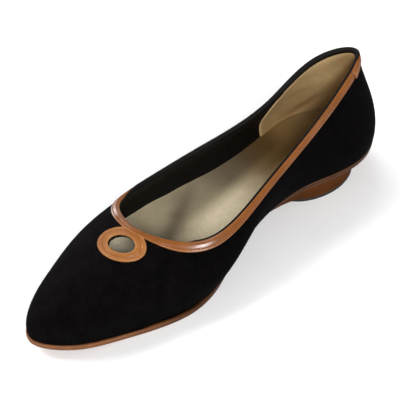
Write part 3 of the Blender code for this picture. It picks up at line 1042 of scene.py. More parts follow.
# The heel lining's worn tone also gives its painted highlights, and its shade tint its painted shade.
BEIGE_LINING = LeatherFinish(
    "beige_lining_leather", (0.46, 0.31, 0.145), (0.60, 0.43, 0.215), (0.93, 0.69, 0.36), wear=0.9,
    roughness=0.55, cells=1300.0, pebble=0.5, depth=0.07, gloss=0.35, shade=(0.48, 0.38, 0.28),
)
# The sock's worn tone is the colour of its painted light, and its shade tint that of its painted shade.
SOCK = LeatherFinish(
    "beige_sock_calf", (0.39, 0.325, 0.205), (0.49, 0.41, 0.265), (0.98, 0.86, 0.62), wear=1.0,
    roughness=0.55, cells=1300.0, pebble=0.4, depth=0.05, gloss=0.25, shade=(0.42, 0.29, 0.135),
)
SOLE_LEATHER = LeatherFinish(
    "waxed_sole_edge", (0.118, 0.038, 0.011), (0.21, 0.075, 0.024), (0.34, 0.160, 0.080), wear=0.6,
    roughness=0.5, cells=900.0, pebble=0.3, depth=0.06, coat=0.03, gloss=0.12, lines=1800.0,
    shade=(0.30, 0.28, 0.22),
)
HEEL_LEATHER = LeatherFinish(
    "stained_heel", (0.060, 0.0185, 0.0047), (0.104, 0.035, 0.0093), (0.16, 0.062, 0.023), wear=0.55,
    roughness=0.7, cells=900.0, pebble=0.3, depth=0.05, gloss=0.01, lines=700.0,
)
RUBBER = PlainFinish("black_rubber", (0.010, 0.009, 0.008), (0.022, 0.020, 0.018), 0.72, 900.0, 0.06)
TAN_THREAD = PlainFinish("tan_thread", (0.17, 0.052, 0.012), (0.27, 0.10, 0.028), 0.6, 6000.0, 0.04)
BLACK_THREAD = PlainFinish("black_thread", (0.012, 0.010, 0.009), (0.035, 0.030, 0.026), 0.6, 6000.0, 0.04)
FLOOR = PlainFinish("pale_floor", (0.95, 0.95, 0.955), (0.975, 0.975, 0.975), 0.9, 40.0, 0.02)


# Making objects


def make_mesh(name: str, surface: Surface, finish: Finish) -> bpy.types.Object:
    """Puts a surface into a mesh object in metres, at the origin.

    Args:
        name: Name of the object and its mesh.
        surface: The surface, in millimetres from the back of the heel seat.
        finish: Its finish.

    Returns:
        The object.
    """
    mesh = bpy.data.meshes.new(name)
    places = (surface.points - np.array([HEEL_MIDDLE[0], 0.0, 0.0])) * MM
    mesh.from_pydata(places.tolist(), [], [face for block in surface.faces for face in block.tolist()])
    for mark, values in surface.marks.items():
        kind, key = ("FLOAT_VECTOR", "vector") if values.ndim == 2 else ("FLOAT", "value")
        mesh.attributes.new(mark, kind, "POINT").data.foreach_set(key, values.astype(np.float32).ravel())
    mesh.shade_smooth()
    mesh.materials.append(finish.material())
    piece = bpy.data.objects.new(name, mesh)
    bpy.context.scene.collection.objects.link(piece)
    return piece


def make_piece(
    name: str, surface: Surface, finish: Finish, node: str = "", wall: float = 0.0
) -> None:
    """Makes one piece of the shoe and puts it on the shoe's body.

    Args:
        name: Name of the piece.
        surface: Its surface.
        finish: Its finish.
        node: CAD node that it stands for.
        wall: Thickness given behind an open surface, in millimetres.
    """
    piece = make_mesh(name, surface, finish)
    if wall:
        thick = piece.modifiers.new("wall", "SOLIDIFY")
        thick.thickness = wall * MM
        thick.offset = -1.0
    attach(piece, "root")
    if node:
        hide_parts(node)
    LOG.info("%s: %d points", name, len(surface.points))


# The upper


@dataclass(frozen=True)
class Crease:
    """A soft trough, or a ridge where depth is negative, along a line of turn and climb pairs."""

    line: Pairs
    width: float
    depth: float

    def push(self, last: Last, points: Array) -> Array:
        """Distance in from the wall at each point: a bell across the line that fades at its ends.

        Args:
            last: The last.
            points: Points on the wall.

        Returns:
            How far each point is pushed in.
        """
        share = np.linspace(0, 1, 24)
        knots = np.linspace(0, 1, len(self.line))
        line = last.wall(*(np.interp(share, knots, values) for values in zip(*self.line)))
        away = np.linalg.norm(points[:, None] - line[None], axis=2)
        fade = np.sin(math.pi * np.clip(share[away.argmin(axis=1)], 0.04, 0.96)) ** 0.7
        return self.depth * fade * bell(away.min(axis=1), self.width)


UPPER_CREASES = (
    Crease(((0.655, 0.62), (0.640, 0.36), (0.632, 0.12)), 5.0, 0.55),
    Crease(((0.676, 0.70), (0.664, 0.42), (0.655, 0.16)), 4.0, 0.40),
    Crease(((0.362, 0.64), (0.374, 0.38), (0.380, 0.14)), 5.0, 0.50),
    Crease(((0.340, 0.70), (0.352, 0.42), (0.360, 0.18)), 4.0, 0.38),
    Crease(((0.880, 0.30), (0.905, 0.48), (0.925, 0.58)), 6.0, 0.35),
    Crease(((0.120, 0.30), (0.095, 0.48), (0.075, 0.58)), 6.0, 0.35),
)
HEEL_FOLDS = (
    Crease(((0.112, 0.06), (0.082, 0.07), (0.062, 0.13), (0.044, 0.26)), 3.2, 0.8),
    Crease(((0.100, 0.62), (0.068, 0.52), (0.040, 0.55)), 6.0, -0.35),
    Crease(((-0.112, 0.08), (-0.080, 0.10), (-0.055, 0.20)), 3.6, 0.6),
)


@dataclass
class SuedeUpper:
    """The suede, the linings behind it and the roll along its top edge.

    The rows of margin are distances from the feather line and its height, of heel_front climbs and turns,
    and of roll_foot and roll_sewing distances below the topline and out from the wall.
    """

    last: Last
    oval: VampOval
    around: int = 480
    rows: int = 72
    skin: float = 0.9
    margin: Pairs = ((-4.6, 0.0), (-2.6, -0.03), (-0.9, -0.03), (-0.25, 0.02))
    top_drop: float = 0.7
    ripple: float = 0.10
    ripple_reach: Triple = (9.0, 7.0, 6.0)
    ripple_start: Triple = (1.3, 0.0, 0.4)
    turn_length: float = 600.0
    seam_depth: float = 0.28
    seam_width: float = 0.7
    lining_face: float = -1.75
    lining_skin: float = 0.7
    lining_drop: float = 2.5
    lining_grid: tuple[int, int] = (48, 360)
    lining_turns: tuple[float, float] = (0.10, 0.90)
    heel_face: float = -2.25
    heel_skin: float = 0.45
    heel_grid: tuple[int, int] = (72, 220)
    heel_front: Pairs = (
        (0, 0.1335), (0.12, 0.1345), (0.5, 0.1375), (0.78, 0.134), (0.93, 0.124), (1, 0.112),
    )
    heel_foot: float = 0.01
    heel_reach: float = 62.0
    heel_skive: float = 2.0
    heel_thin: float = 0.4
    heel_drop: float = 1.1
    heel_dip: float = 0.5
    heel_seam: float = 0.35
    heel_seam_width: float = 0.8
    roll_around: int = 560
    roll_foot: Pairs = ((3.9, -1.9), (3.5, -2.0), (2.6, -2.02))
    roll_face: float = -2.0
    roll_reach: float = -0.5
    roll_cover: float = 1.15
    roll_round: float = 0.35
    roll_rise: float = 0.75
    roll_sink: float = 1.1
    roll_cover_rise: float = 0.15
    roll_tuck: float = 0.12
    roll_sewing: tuple[float, float] = (2.6, -2.03)

    def wall_grid(self, turn: Array, drop: float, rows: int) -> tuple[Array, Array]:
        """Turns and climbs of a grid from the feather line up to a drop below the topline.

        Args:
            turn: Turns of the columns.
            drop: Distance of the highest row below the topline.
            rows: Number of rows.

        Returns:
            Turns and climbs, row by row.
        """
        climb = np.linspace(0, 1, rows)[:, None] * self.last.climb_at(turn, np.full((1, len(turn)), drop))
        return np.broadcast_to(turn, climb.shape).ravel(), climb.ravel()

    def suede(self) -> None:
        """The suede skin: the wall with creases, ripples and a back seam, its foot lasted under.

        A ripple is the product of three slow sines, along, across and up, and it dies out at the topline.
        """
        turn, climb = self.wall_grid(np.arange(self.around) / self.around, self.top_drop, self.rows)
        faces = grid_faces(self.rows, self.around, wrap_columns=True)
        turn, climb, faces = self.oval.cut(turn, climb, faces)
        points = self.last.wall(turn, climb)
        push = sum(crease.push(self.last, points) for crease in UPPER_CREASES)
        ripple = self.ripple * np.sin(points / self.ripple_reach + self.ripple_start).prod(axis=1)
        from_back = np.abs(np.mod(turn + 0.5, 1) - 0.5) * self.turn_length
        lift = ripple * ramp(climb, 1, 0.75) - push - self.seam_depth * bell(from_back, self.seam_width)
        under = self.lasted_margin()
        points = np.vstack([under, self.last.off_wall(turn, climb, lift)])
        joined = grid_faces(len(self.margin) + 1, self.around, wrap_columns=True)
        x, y, z = points.T
        # Painted light and rubbed nap: the suede is lighter towards the toe, higher up and along the outer
        # side.
        rubbed_and_lit = ramp(x, 140, 190) * ramp(z, 8, 24) * (0.3 + 0.7 * ramp(y, 22, -8))
        surface = Surface(points, [np.vstack([joined, faces + len(under)])], {"edge": rubbed_and_lit}).compact()
        make_piece("upper_suede", surface, SUEDE, "upper", self.skin)

    def lasted_margin(self) -> Array:
        """Rows of the suede that turn in under the foot, beside the feather line and close to its height.

        Returns:
            Points, row by row from the inside out.
        """
        turn = np.arange(self.around) / self.around
        plans = np.stack([self.last.beside_feather(turn, out) for out, _ in self.margin])
        rise = np.array([rise for _, rise in self.margin])[:, None]
        height = self.last.feather_height(plans[..., 0], plans[..., 1]) + rise
        return np.concatenate([plans, height[..., None]], axis=-1).reshape(-1, 3)

    def forepart_lining(self) -> None:
        """The dark lining from the quarters forward, on the inner face of the wall, with the hole in it."""
        rows, columns = self.lining_grid
        turn, climb = self.wall_grid(np.linspace(*self.lining_turns, columns), self.lining_drop, rows)
        turn, climb, faces = self.oval.cut(turn, climb, grid_faces(rows, columns))
        surface = Surface(self.last.off_wall(turn, climb, self.lining_face), [faces[:, ::-1]]).compact()
        make_piece("forepart_lining", surface, BLACK_LINING, wall=self.lining_skin)

    def top_roll(self) -> None:
        """The black roll that closes the lining along the whole topline, and the stitches below its top.

        Its section goes up the inner face, over a half round and down behind the binding. Along the outer
        side the top is wider and covers the binding's edge, and at the throat it sinks behind it.
        """
        turn = np.arange(self.roll_around) / self.roll_around
        cover = self.last.outer_side(turn)[None]
        sink = self.roll_sink * self.last.throat(turn)[None]
        low, face = (np.array(values)[:, None] + 0 * cover for values in zip(*self.roll_foot))
        angle = np.linspace(0, math.pi, 11)[:, None]
        reach = self.roll_reach + (self.roll_cover - self.roll_reach) * cover
        over = (reach + self.roll_face) / 2 - (reach - self.roll_face) / 2 * np.cos(angle)
        top = self.roll_round - (self.roll_rise + self.roll_cover_rise * cover) * np.sin(angle)
        behind = np.full((3, self.roll_around), self.roll_reach)
        lift = np.vstack([face, over, reach - self.roll_tuck * cover, behind])
        drop = np.vstack([low, top + sink, 0.5 + sink, 0.62 + sink, low[::-2]])
        points = self.last.off_wall(turn[None], self.last.climb_at(turn, drop), lift)
        make_piece("top_roll", swept(points, {"edge": np.where(drop < 0, 1.0, 0.0)}), BLACK_LINING)
        stitches = self.last.sewn(ROLL_STITCH, *self.roll_sewing, facing=-1.0)
        make_piece("roll_stitches", stitches, BLACK_THREAD)

    def heel_lining(self) -> None:
        """The beige heel lining: a patch across the back with skived edges, soft folds and a back seam.

        Columns run from the inner front edge to the outer one, whose turn follows a curve up the wall, and
        rows from the seat to just under the roll.
        """
        rows, columns = self.heel_grid
        side, up = np.linspace(-1, 1, columns)[None, :], np.linspace(0, 1, rows)[:, None]
        turn = side * rising_curve(self.heel_front, up)
        drop = self.heel_drop + self.heel_dip * smooth_step(np.abs(turn) * 14)
        top = self.last.climb_at(turn.ravel(), drop.reshape(1, -1)).reshape(turn.shape)
        climb = self.heel_foot + up * (top - self.heel_foot)
        from_edge = np.minimum(1 - np.abs(side), 1 - up * 0.999) * self.heel_reach
        skive = 1 - ramp(from_edge, 0, self.heel_skive)
        points = self.last.wall(turn, climb).reshape(-1, 3)
        fold_and_shade = sum(crease.push(self.last, points) for crease in HEEL_FOLDS).reshape(turn.shape)
        seam = self.heel_seam * bell(turn * self.turn_length, self.heel_seam_width)
        lift = self.heel_face + self.heel_thin * skive + fold_and_shade + seam
        grid = self.last.off_wall(turn, climb, lift)
        # Painted highlight: a light line along the top edge, and a lit patch high up on the outer side.
        rim_highlight = 0.3 * bell(1 - up, 0.07) + 0 * side
        rubbed_and_lit = bell(np.hypot((turn - 0.058) / 0.05, (up - 0.60) / 0.20))
        # Painted shade: the lower part, the back and inner side of the lining, and the creases are darker.
        low, back_shade = 0.6 * ramp(up, 0.40, 0.0) + 0 * side, 0.55 * ramp(turn, 0.060, 0.010)
        marks = {
            "edge": np.maximum.reduce([skive, rim_highlight, rubbed_and_lit]).ravel(),
            "fold_and_shade": np.maximum.reduce([np.clip(fold_and_shade / 0.8, 0, 1), low, back_shade]).ravel(),
        }
        surface = Surface(grid.reshape(-1, 3), [grid_faces(rows, columns)[:, ::-1]], marks)
        make_piece("heel_lining", surface, BEIGE_LINING, wall=self.heel_skin)

    def build(self) -> None:
        """Makes every piece of the upper."""
        self.suede()
        self.forepart_lining()
        self.heel_lining()
        self.top_roll()


# The tan trim


@dataclass
class TopBinding:
    """The tan strip that binds the topline, with a stitched groove and a lap joint near the back."""

    last: Last
    around: int = 620
    turn_length: float = 560.0
    thickness: float = 1.1
    sunk: float = 0.45
    belly: float = 0.05
    start_share: float = 0.06
    start_cover: float = 0.12
    skive_share: float = 0.36
    skive_cover: float = 0.2
    end_share: float = 0.90
    end_drop: float = 0.6
    groove_share: float = 0.74
    groove_depth: float = 0.24
    groove_width: float = 0.05
    stitch_rise: float = 0.10
    joint_turn: float = 0.956
    joint_step: float = 0.8
    joint_reach: float = 12.0
    notch: float = 1.9
    polished_turns: tuple[float, float] = (0.640, 0.440)

    def section(self, turn: Array) -> tuple[Array, Array, Array]:
        """Section of the strip from the roll down a skived slope, down its face, and back up along the wall.

        Along the outer side the slope is short, because the roll covers the strip's edge there.

        Args:
            turn: Turns of the columns.

        Returns:
            Shares of the width below the topline, distances out from the wall, and edge marks, each as
            rows of the section by columns.
        """
        cover = self.last.outer_side(turn)[None]
        none = 0 * cover
        start = self.start_share + self.start_cover * cover
        skive = self.skive_share - self.skive_cover * cover
        slope, down = np.linspace(0, 1, 9)[:, None], np.linspace(0, 1, 21)[1:, None]
        slant = start + (skive - start) * slope
        rise = -self.sunk + (self.thickness + self.sunk) * slope**0.8 + none
        face = skive + (1 - skive) * down
        groove = self.groove_depth * bell(face - self.groove_share, self.groove_width)
        end = self.end_drop * np.clip((face - self.end_share) / (1 - self.end_share), 0, 1) ** 2
        flat = self.thickness + self.belly * np.sin(math.pi * down) - groove - end
        # Lighter lower edge and a line below the groove: partly worn, partly painted highlight.
        worn_and_lit = np.maximum(bell(face - 0.93, 0.06), 0.35 * bell(face - self.groove_share - 0.11, 0.05))
        back = none + 0.02
        drop = np.vstack([start + 0.1, slant, face, none + 1.0, none + 0.6, none + 0.3])
        lift = np.vstack([none - self.sunk - 0.03, rise, flat, back, back, back])
        edge = np.vstack([none, 0.3 * (1 - slope) + none, worn_and_lit, none + 0.3, none, none])
        return drop, lift, edge

    def strip(self) -> None:
        """The strip, which rises by a step where one end laps over the other, with a notch there."""
        gather = 0.004 * np.linspace(-1, 1, 41) ** 3
        turn = np.sort(np.concatenate([np.arange(self.around) / self.around, self.joint_turn + gather]))
        drop, lift, edge = self.section(turn)
        away = (turn - self.joint_turn) * self.turn_length
        lap = self.joint_step * ramp(away, 0, 0.35) * ramp(away, self.joint_reach, 0)
        width = self.last.band(turn) + 0.5 * lap - self.notch * bell(away + 0.3, 0.5)
        outer = lift > 0.1
        points = self.last.off_wall(turn[None], self.last.climb_at(turn, drop * width), lift + outer * lap)
        marks = {
            "edge": np.maximum(edge, outer * (0.8 * bell(away - 0.5, 0.6) + 0.5 * lap)),
            # Painted shade in the notch at the lap joint.
            "fold_and_shade": 1.4 * bell(away + 0.35, 0.6),
            "polish": np.maximum.reduce([bell(turn - middle, 0.035) for middle in self.polished_turns]),
        }
        make_piece("topline_strip", swept(points, marks), TAN, "topline_binding")

    def build(self) -> None:
        """Makes the strip and the stitches in its groove."""
        self.strip()
        drop = self.groove_share * self.last.band(FINE_TURNS)
        lift = self.thickness - self.groove_depth + self.stitch_rise
        stitches = self.last.sewn(STRIP_STITCH, drop, lift)
        make_piece("strip_stitches", stitches, TAN_THREAD)


@dataclass
class VampRing:
    """The tan ring around the hole in the vamp, with a stitched groove."""

    last: Last
    oval: VampOval
    around: int = 220
    thickness: float = 1.25
    foot: float = 0.03
    groove_share: float = 0.56
    groove_depth: float = 0.45
    groove_width: float = 0.07
    stitch_rise: float = 0.08
    inner_round: float = 0.16
    outer_round: float = 0.14
    round_depth: float = 0.6
    overlap: float = 0.7
    ride_up: float = 0.9

    def binding_climb(self, turn: Array, below: float) -> Array:
        """Climbs at a distance below the binding's lower edge."""
        return self.last.climb_at(turn, (self.last.band(turn) + below)[None])[0]

    def outline(self) -> tuple[Array, Array]:
        """Hole and edge of the ring in the oval's frame, the edge trimmed where it meets the binding.

        Returns:
            Points of the hole and of the edge.
        """
        angle = np.arange(self.around) / self.around * 2 * math.pi
        circle = np.stack([np.cos(angle), np.sin(angle)], axis=-1)
        hole, edge = circle * self.oval.hole_half, circle * self.oval.ring_half
        share = np.linspace(0.1, 1.0, 91)
        places = hole[:, None] + (edge - hole)[:, None] * share[None, :, None]
        turn, climb = self.oval.find(places.reshape(-1, 2))
        free = (climb < self.binding_climb(turn, -self.overlap)).reshape(len(angle), -1)
        reach = np.where(free, share, 0).max(axis=1)
        kernel = np.hanning(7) / np.hanning(7).sum()
        reach = np.convolve(np.concatenate([reach[-3:], reach, reach[:3]]), kernel, "valid")
        return hole, hole + (edge - hole) * reach[:, None]

    def build(self) -> None:
        """Makes the ring: a section of two domes with a groove between, carried around the oval."""
        hole, edge = self.outline()
        face = np.linspace(0, 1, 27)
        rounds = (1 - face / self.inner_round, 1 - (1 - face) / self.outer_round)
        dome = 1 - self.round_depth * sum(np.clip(share, 0, 1) ** 2 for share in rounds)
        groove = self.groove_depth * bell(face - self.groove_share, self.groove_width)
        raised = self.thickness * dome - groove
        share = np.concatenate([[0.0], face, [1.0, 0.5]])
        lift = np.repeat(np.concatenate([[self.foot], raised, [self.foot, self.foot]]), self.around)
        # Lighter rims: partly worn, partly painted highlight.
        worn_and_lit = np.maximum(bell(share - 0.06, 0.07), bell(share - 0.94, 0.07))
        places = hole[None] + (edge - hole)[None] * share[:, None, None]
        turn, climb = self.oval.find(places.reshape(-1, 2))
        border, over = (self.binding_climb(turn, below) for below in (self.overlap, -self.overlap))
        lift = lift + self.ride_up * ramp(climb, border, over) * (lift > 0.1)
        points = self.last.off_wall(turn, climb, lift).reshape(*places.shape[:2], 3)
        make_piece("vamp_oval", swept(points, {"edge": worn_and_lit[:, None]}), RING_TAN, "vamp_ring")
        self.stitches(hole + (edge - hole) * self.groove_share)

    def stitches(self, line: Array) -> None:
        """Tan stitches in the ring's groove, evenly spaced along it.

        Args:
            line: Points of the groove in the oval's frame.
        """
        loop = np.vstack([line, line[:1]])
        at = evenly(loop, RING_STITCH.pitch)
        places = np.stack([np.interp(at, np.arange(len(loop)), values) for values in loop.T], axis=-1)
        turn, climb = self.oval.find(places)
        middles = self.last.off_wall(turn, climb, self.thickness - self.groove_depth + self.stitch_rise)
        along = unit(np.roll(middles, -1, axis=0) - np.roll(middles, 1, axis=0))
        out = self.last.normal(turn, climb)
        along = unit(along - out * (along * out).sum(axis=1, keepdims=True))
        make_piece("ring_stitches", RING_STITCH.row(middles, along, out), TAN_THREAD)


# Under the foot


@dataclass(frozen=True)
class Swell:
    """A soft oval swelling of the sock, or a dent where its height is negative."""

    x: float
    y: float
    reach: float
    half_width: float
    height: float

    def at(self, x: Array, y: Array) -> Array:
        """Height at each place: a bell of the distance from the middle."""
        return self.height * bell(np.hypot((x - self.x) / self.reach, (y - self.y) / self.half_width))


SOCK_RELIEF = {
    "arch_pad": Swell(104, 22, 34, 13, 1.3),
    "ball_dent": Swell(166, 4, 26, 22, -0.7),
    "heel_dent": Swell(34, -1, 24, 17, -0.6),
}
# Painted shade on the sock: how dark it is painted, by distance along the shoe from the back.
SOCK_PAINTED_SHADE: Pairs = (
    (0, 0.75), (20, 0.8), (40, 0.88), (60, 1.0), (72, 0.85), (84, 0.35), (95, 0.1), (110, 0), (260, 0),
)


class EdgeRow(NamedTuple):
    """One row of the outsole's edge: distance out, distance down from the top, and wear."""

    out: float
    down: float
    worn_and_lit: float


SOLE_EDGE = (
    EdgeRow(-1.6, 0.0, 0.0),
    EdgeRow(-0.55, 0.0, 0.3),
    EdgeRow(-0.2, 0.12, 0.9),
    EdgeRow(0.0, 0.5, 0.8),
    EdgeRow(0.05, 1.4, 0.2),
    EdgeRow(0.0, 2.4, 0.1),
    EdgeRow(-0.15, 3.0, 0.4),
    EdgeRow(-0.5, 3.55, 0.9),
    EdgeRow(-1.1, 3.8, 0.8),
    EdgeRow(-3.0, 3.8, 0.3),
)


@dataclass
class Underfoot:
    """Sock, outsole, wedge heel and lift."""

    last: Last
    around: int = 480
    across: int = 48
    sock_thickness: float = 2.0
    sock_lift: float = -1.2
    sock_under: float = 0.95
    sole_top: float = -0.1
    sole_low: float = -3.9
    heel_top: float = -3.92
    heel_front: float = 90.0
    heel_inset: float = 0.8
    heel_undercut: float = 0.7
    heel_back_reach: float = 27.0
    heel_front_reach: float = 30.0
    heel_half_width: float = 22.0
    heel_foot: float = 2.48
    heel_soften: float = 0.35
    heel_side: int = 96
    heel_across: int = 24
    lift_thickness: float = 2.4
    lift_across: int = 20

    def turns(self) -> Array:
        """Evenly spread turns around the shoe, from the back."""
        return np.arange(self.around) / self.around

    def raised(self, lift: float) -> Height:
        """The surface under the foot moved up by lift."""
        return lambda x, y: self.last.feather_height(x, y) + lift

    def sock_rim(self, turn: Array) -> Array:
        """Plan points where the sock's top runs into the wall, a little way into it.

        Args:
            turn: Turns of the points.

        Returns:
            Plan points.
        """
        climbs = np.linspace(0.0, 0.3, 31)
        rise = self.last.wall(turn[:, None], climbs[None])[..., 2] - self.last.feather_line(turn)[:, None, 2]
        climb = climbs[np.argmax(rise > self.sock_thickness, axis=1)]
        return self.last.off_wall(turn, climb, self.sock_lift)[:, :2]

    def sock_top(self, x: Array, y: Array) -> Array:
        """Height of the sock: its relief, and a crease across it behind the ball.

        Args:
            x: Places along the shoe.
            y: Places across it.

        Returns:
            Heights above the floor.
        """
        relief = sum(swell.at(x, y) for swell in SOCK_RELIEF.values())
        crease = 0.5 * bell((x - 138) - 0.35 * (y - 5), 7.0)
        return self.last.feather_height(x, y) + self.sock_thickness + relief - crease

    def sock(self) -> None:
        """The beige sock over the insole, which runs in under the lining all round.

        Painted shadow lies in a slanting band behind the ball and along the outer side, the forepart and a
        zone beside the arch are painted light, and the heel half is painted with shade.
        """
        plan = self.sock_rim(self.turns())
        under = self.raised(self.sock_under)
        rings = np.stack([np.column_stack([plan, height(*plan.T)]) for height in (self.sock_top, under)])
        surface = plate(rings, self.sock_top, under, self.across, np.zeros(2))
        x, y = surface.points[:, 0], surface.points[:, 1]
        away = 0.857 * (y + 16) - 0.515 * (x - 132)
        along = 0.857 * (x - 132) + 0.515 * (y + 16)
        # painted shadow: a dark slanting band across the sock behind the ball
        tread = 0.9 * bell(away, 6.0) * bell(along, 26.0)
        # painted shadow cast by the outer wall along the outer side of the sock
        outer = 0.72 * ramp(y, -8, -17) * ramp(x, 112, 90) * ramp(x, 45, 60)
        # painted light: a lit zone beside the arch
        arch = 0.24 * ramp(y, -16, 0) * ramp(x, 72, 96) * ramp(x, 138, 118)
        surface.marks["painted_shadow"] = np.maximum(tread, outer)
        # painted light: the forepart, also seen through the vamp hole, is lightened
        surface.marks["edge"] = np.maximum(1.35 * ramp(x, 148, 166), arch)
        # painted shade over the heel half of the sock
        surface.marks["fold_and_shade"] = rising_curve(SOCK_PAINTED_SHADE, x)
        make_piece("sock", surface, SOCK, "insole")

    @staticmethod
    def lay(points: Array) -> Array:
        """Metres along the shoe's side and up it, as a pattern vector for each point."""
        along = points[:, 0] + 0.6 * points[:, 1]
        return np.stack([along, points[:, 2], np.zeros(len(points))], axis=-1) * MM

    def outsole(self) -> None:
        """The leather outsole, its edge a rounded section from the top to the worn lower corner."""
        turn = self.turns()
        welt = self.last.welt(turn)
        plans = np.stack([self.last.beside_feather(turn, welt + row.out) for row in SOLE_EDGE])
        drop = np.array([row.down for row in SOLE_EDGE])[:, None]
        height = self.last.feather_height(plans[..., 0], plans[..., 1]) + self.sole_top - drop
        rings = np.concatenate([plans, height[..., None]], axis=-1)
        worn_and_lit = np.array([row.worn_and_lit for row in SOLE_EDGE])
        surface = plate(rings, self.raised(self.sole_top), self.raised(self.sole_low), self.across, worn_and_lit)
        surface.marks["lay"] = self.lay(surface.points)
        # The edge is darker towards the back.
        surface.marks["fold_and_shade"] = ramp(surface.points[:, 0], 210, 160)
        make_piece("outsole_leather", surface, SOLE_LEATHER, "outsole")

    def seat_ring(self) -> Array:
        """Plan outline of the heel under the sole: along the sole's edge, then across the waist.

        Returns:
            Plan points, from the back along the outer side and home along the inner one.
        """
        share = np.linspace(0, 1, self.heel_side + 1)
        sides = []
        for start, end in ((0.0, 0.3), (1.0, 0.7)):
            turns = np.linspace(start, end, 400)
            stop = np.interp(self.heel_front, self.last.feather_line(turns)[:, 0], turns)
            turn = start + share * (stop - start)
            sides.append(self.last.beside_feather(turn, self.last.welt(turn) - self.heel_inset))
        outer, inner = sides
        cross = np.linspace(0, 1, 2 * self.heel_across + 1)[1:-1, None]
        return np.vstack([outer, outer[-1] * (1 - cross) + inner[-1] * cross, inner[:0:-1]])

    def heel_angles(self) -> Array:
        """Angles around the heel's foot: 0 at the back, then along the outer side to the front."""
        half = np.linspace(0, math.pi, self.heel_side + self.heel_across + 1)
        return np.concatenate([half, 2 * math.pi - half[-2:0:-1]])

    def foot_ring(self, inset: float = 0.0) -> Array:
        """Plan oval that the heel stands on, point for point with the seat ring.

        Args:
            inset: How far the oval is drawn in.

        Returns:
            Plan points.
        """
        angle = self.heel_angles()
        reach = np.where(np.cos(angle) > 0, self.heel_back_reach, self.heel_front_reach) - inset
        x = HEEL_MIDDLE[0] - reach * np.cos(angle)
        y = HEEL_MIDDLE[1] - (self.heel_half_width - inset) * np.sin(angle)
        return np.stack([x, y], axis=-1)

    def heel(self) -> None:
        """The wedge heel: cut in steeply under the back of the seat, and a straight slope at its front.

        Going down by a share of the height, the outline moves from the seat's to the foot's by one less the
        rest of the height raised to a power, which is larger at the back.
        """
        top = self.raised(self.heel_top)
        seat = self.seat_ring()
        share = np.concatenate([[0.0], np.linspace(0.02, 0.985, 26), [1.0]])[:, None, None]
        power = (1 + self.heel_undercut * (1 + np.cos(self.heel_angles())) / 2)[None, :, None]
        inward = 1 - (1 - share) ** power
        plan = seat[None] * (1 - inward) + self.foot_ring()[None] * inward
        soften = np.where((share == 0) | (share == 1), self.heel_soften, 0.0)
        plan = plan - soften * unit(plan - np.array(HEEL_MIDDLE))
        height = top(seat[:, 0], seat[:, 1])[None, :, None] * (1 - share) + self.heel_foot * share
        rings = np.concatenate([plan, height], axis=-1)
        worn_and_lit = np.clip(bell(share, 0.03) + bell(share - 1, 0.05), 0, 1).ravel()
        surface = plate(rings, top, level(self.heel_foot), self.heel_across, worn_and_lit)
        surface.marks["lay"] = self.lay(surface.points)
        make_piece("wedge_heel", surface, HEEL_LEATHER, "heel_wedge")

    def lift(self) -> None:
        """The rubber lift under the heel, chamfered and flat on the floor."""
        top = self.lift_thickness
        insets, heights = (0.45, 0.2, 0.2, 0.5), (top, top - 0.2, 0.35, 0.0)
        plans = [self.foot_ring(inset) for inset in insets]
        rings = np.stack([np.column_stack([p, np.full(len(p), z)]) for p, z in zip(plans, heights)])
        surface = plate(rings, level(top), level(0.0), self.lift_across, np.zeros(len(insets)))
        make_piece("rubber_lift", surface, RUBBER, "heel_top_lift")

    def build(self) -> None:
        """Makes every piece under the foot."""
        self.sock()
        self.outsole()
        self.heel()
        self.lift()


# The studio


def add_object(name: str, data: bpy.types.ID, place: Sequence[float], axes: Matrix) -> bpy.types.Object:
    """Sets a lamp or a camera in the scene.

    Args:
        name: Name of the object.
        data: The lamp or the camera.
        place: Where it stands, in metres.
        axes: Its right, upward and backward directions as columns.

    Returns:
        The object.
    """
    item = bpy.data.objects.new(name, data)
    item.matrix_world = Matrix.Translation(place) @ axes.to_4x4()
    bpy.context.scene.collection.objects.link(item)
    return item


@dataclass(frozen=True)
class SoftLight:
    """A square soft light that points at the shoe."""

    name: str
    place: Triple
    size: float
    power: float
    target: Triple = (0.08, 0.0, 0.03)

    def build(self) -> None:
        """Makes the lamp and turns it to the shoe."""
        lamp = bpy.data.lights.new(self.name, "AREA")
        lamp.shape = "SQUARE"
        lamp.size = self.size
        lamp.energy = self.power
        back = unit(np.array(self.place) - np.array(self.target))
        right = unit(np.cross(UP, back))
        axes = np.column_stack([right, np.cross(back, right), back])
        add_object(self.name, lamp, self.place, Matrix(axes.tolist()))


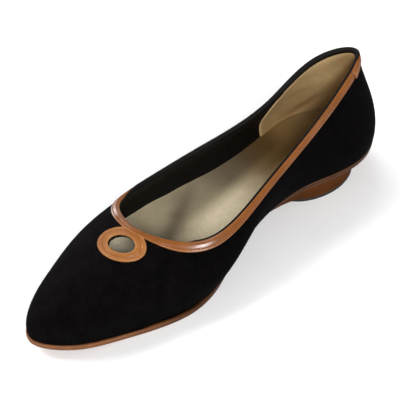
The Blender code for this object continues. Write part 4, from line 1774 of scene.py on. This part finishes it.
@dataclass(frozen=True)
class Studio:
    """Pale floor, soft lights and the camera at the photograph's angle."""

    azimuth: float = 49.17
    elevation: float = 45.92
    target: Triple = (0.02649, 0.02624, 0.025)
    distance: float = 1.16584
    pan: float = 3.02
    tilt: float = -0.35
    lens: float = 182.0
    sky: float = 0.35
    floor_reach: float = 4000.0
    lights: tuple[SoftLight, ...] = (
        SoftLight("key_light", (0.80, -0.70, 1.15), 0.45, 10.0),
        SoftLight("inner_light", (0.03, 1.37, 0.92), 0.34, 7.0),
        SoftLight("front_light", (0.71, 1.07, 1.155), 0.30, 17.5),
        SoftLight("outer_light", (-0.05, -1.40, 0.20), 0.45, 3.0),
        SoftLight("fill_light", (-0.25, -0.95, 1.25), 1.0, 11.0),
    )

    def camera(self) -> None:
        """Stands where the photograph was taken from, panned and tilted a little to the one shoe."""
        angles = self.azimuth, self.elevation, self.pan, self.tilt
        azimuth, elevation, pan, tilt = map(math.radians, angles)
        across = math.cos(elevation)
        back = np.array([math.cos(azimuth) * across, math.sin(azimuth) * across, math.sin(elevation)])
        right = np.array([-math.sin(azimuth), math.cos(azimuth), 0.0])
        axes = Matrix(np.column_stack([right, np.cross(back, right), back]).tolist())
        aim = axes @ Matrix.Rotation(pan, 3, "Y") @ Matrix.Rotation(tilt, 3, "X")
        lens = bpy.data.cameras.new("photo_camera")
        lens.lens = self.lens
        eye = np.array(self.target) + back * self.distance
        bpy.context.scene.camera = add_object("photo_camera", lens, eye.tolist(), aim)

    def floor(self) -> None:
        """A wide flat floor."""
        x, y = np.meshgrid(*[np.linspace(-self.floor_reach, self.floor_reach, 9)] * 2)
        points = np.stack([x, y, np.zeros_like(x)], axis=-1).reshape(-1, 3)
        make_mesh("floor", Surface(points, [grid_faces(9, 9)]), FLOOR)

    def build(self) -> None:
        """Makes floor, sky, lights and camera."""
        self.floor()
        world = bpy.data.worlds.new("studio")
        world.use_nodes = True
        sky = {"Color": (1.0, 1.0, 1.0, 1.0), "Strength": self.sky}
        NodeSheet(world.node_tree).give(world.node_tree.nodes["Background"], sky)
        bpy.context.scene.world = world
        bpy.context.scene.view_settings.view_transform = "Standard"
        for light in self.lights:
            light.build()
        self.camera()


def main() -> None:
    """Builds the shoe piece by piece, then the studio."""
    logging.basicConfig(level=logging.INFO, format="%(message)s")
    last = Last()
    oval = VampOval(last)
    assemblies = SuedeUpper(last, oval), TopBinding(last), VampRing(last, oval), Underfoot(last), Studio()
    for assembly in assemblies:
        assembly.build()
        LOG.info("%s done", type(assembly).__name__)


if __name__ == "__main__":
    main()
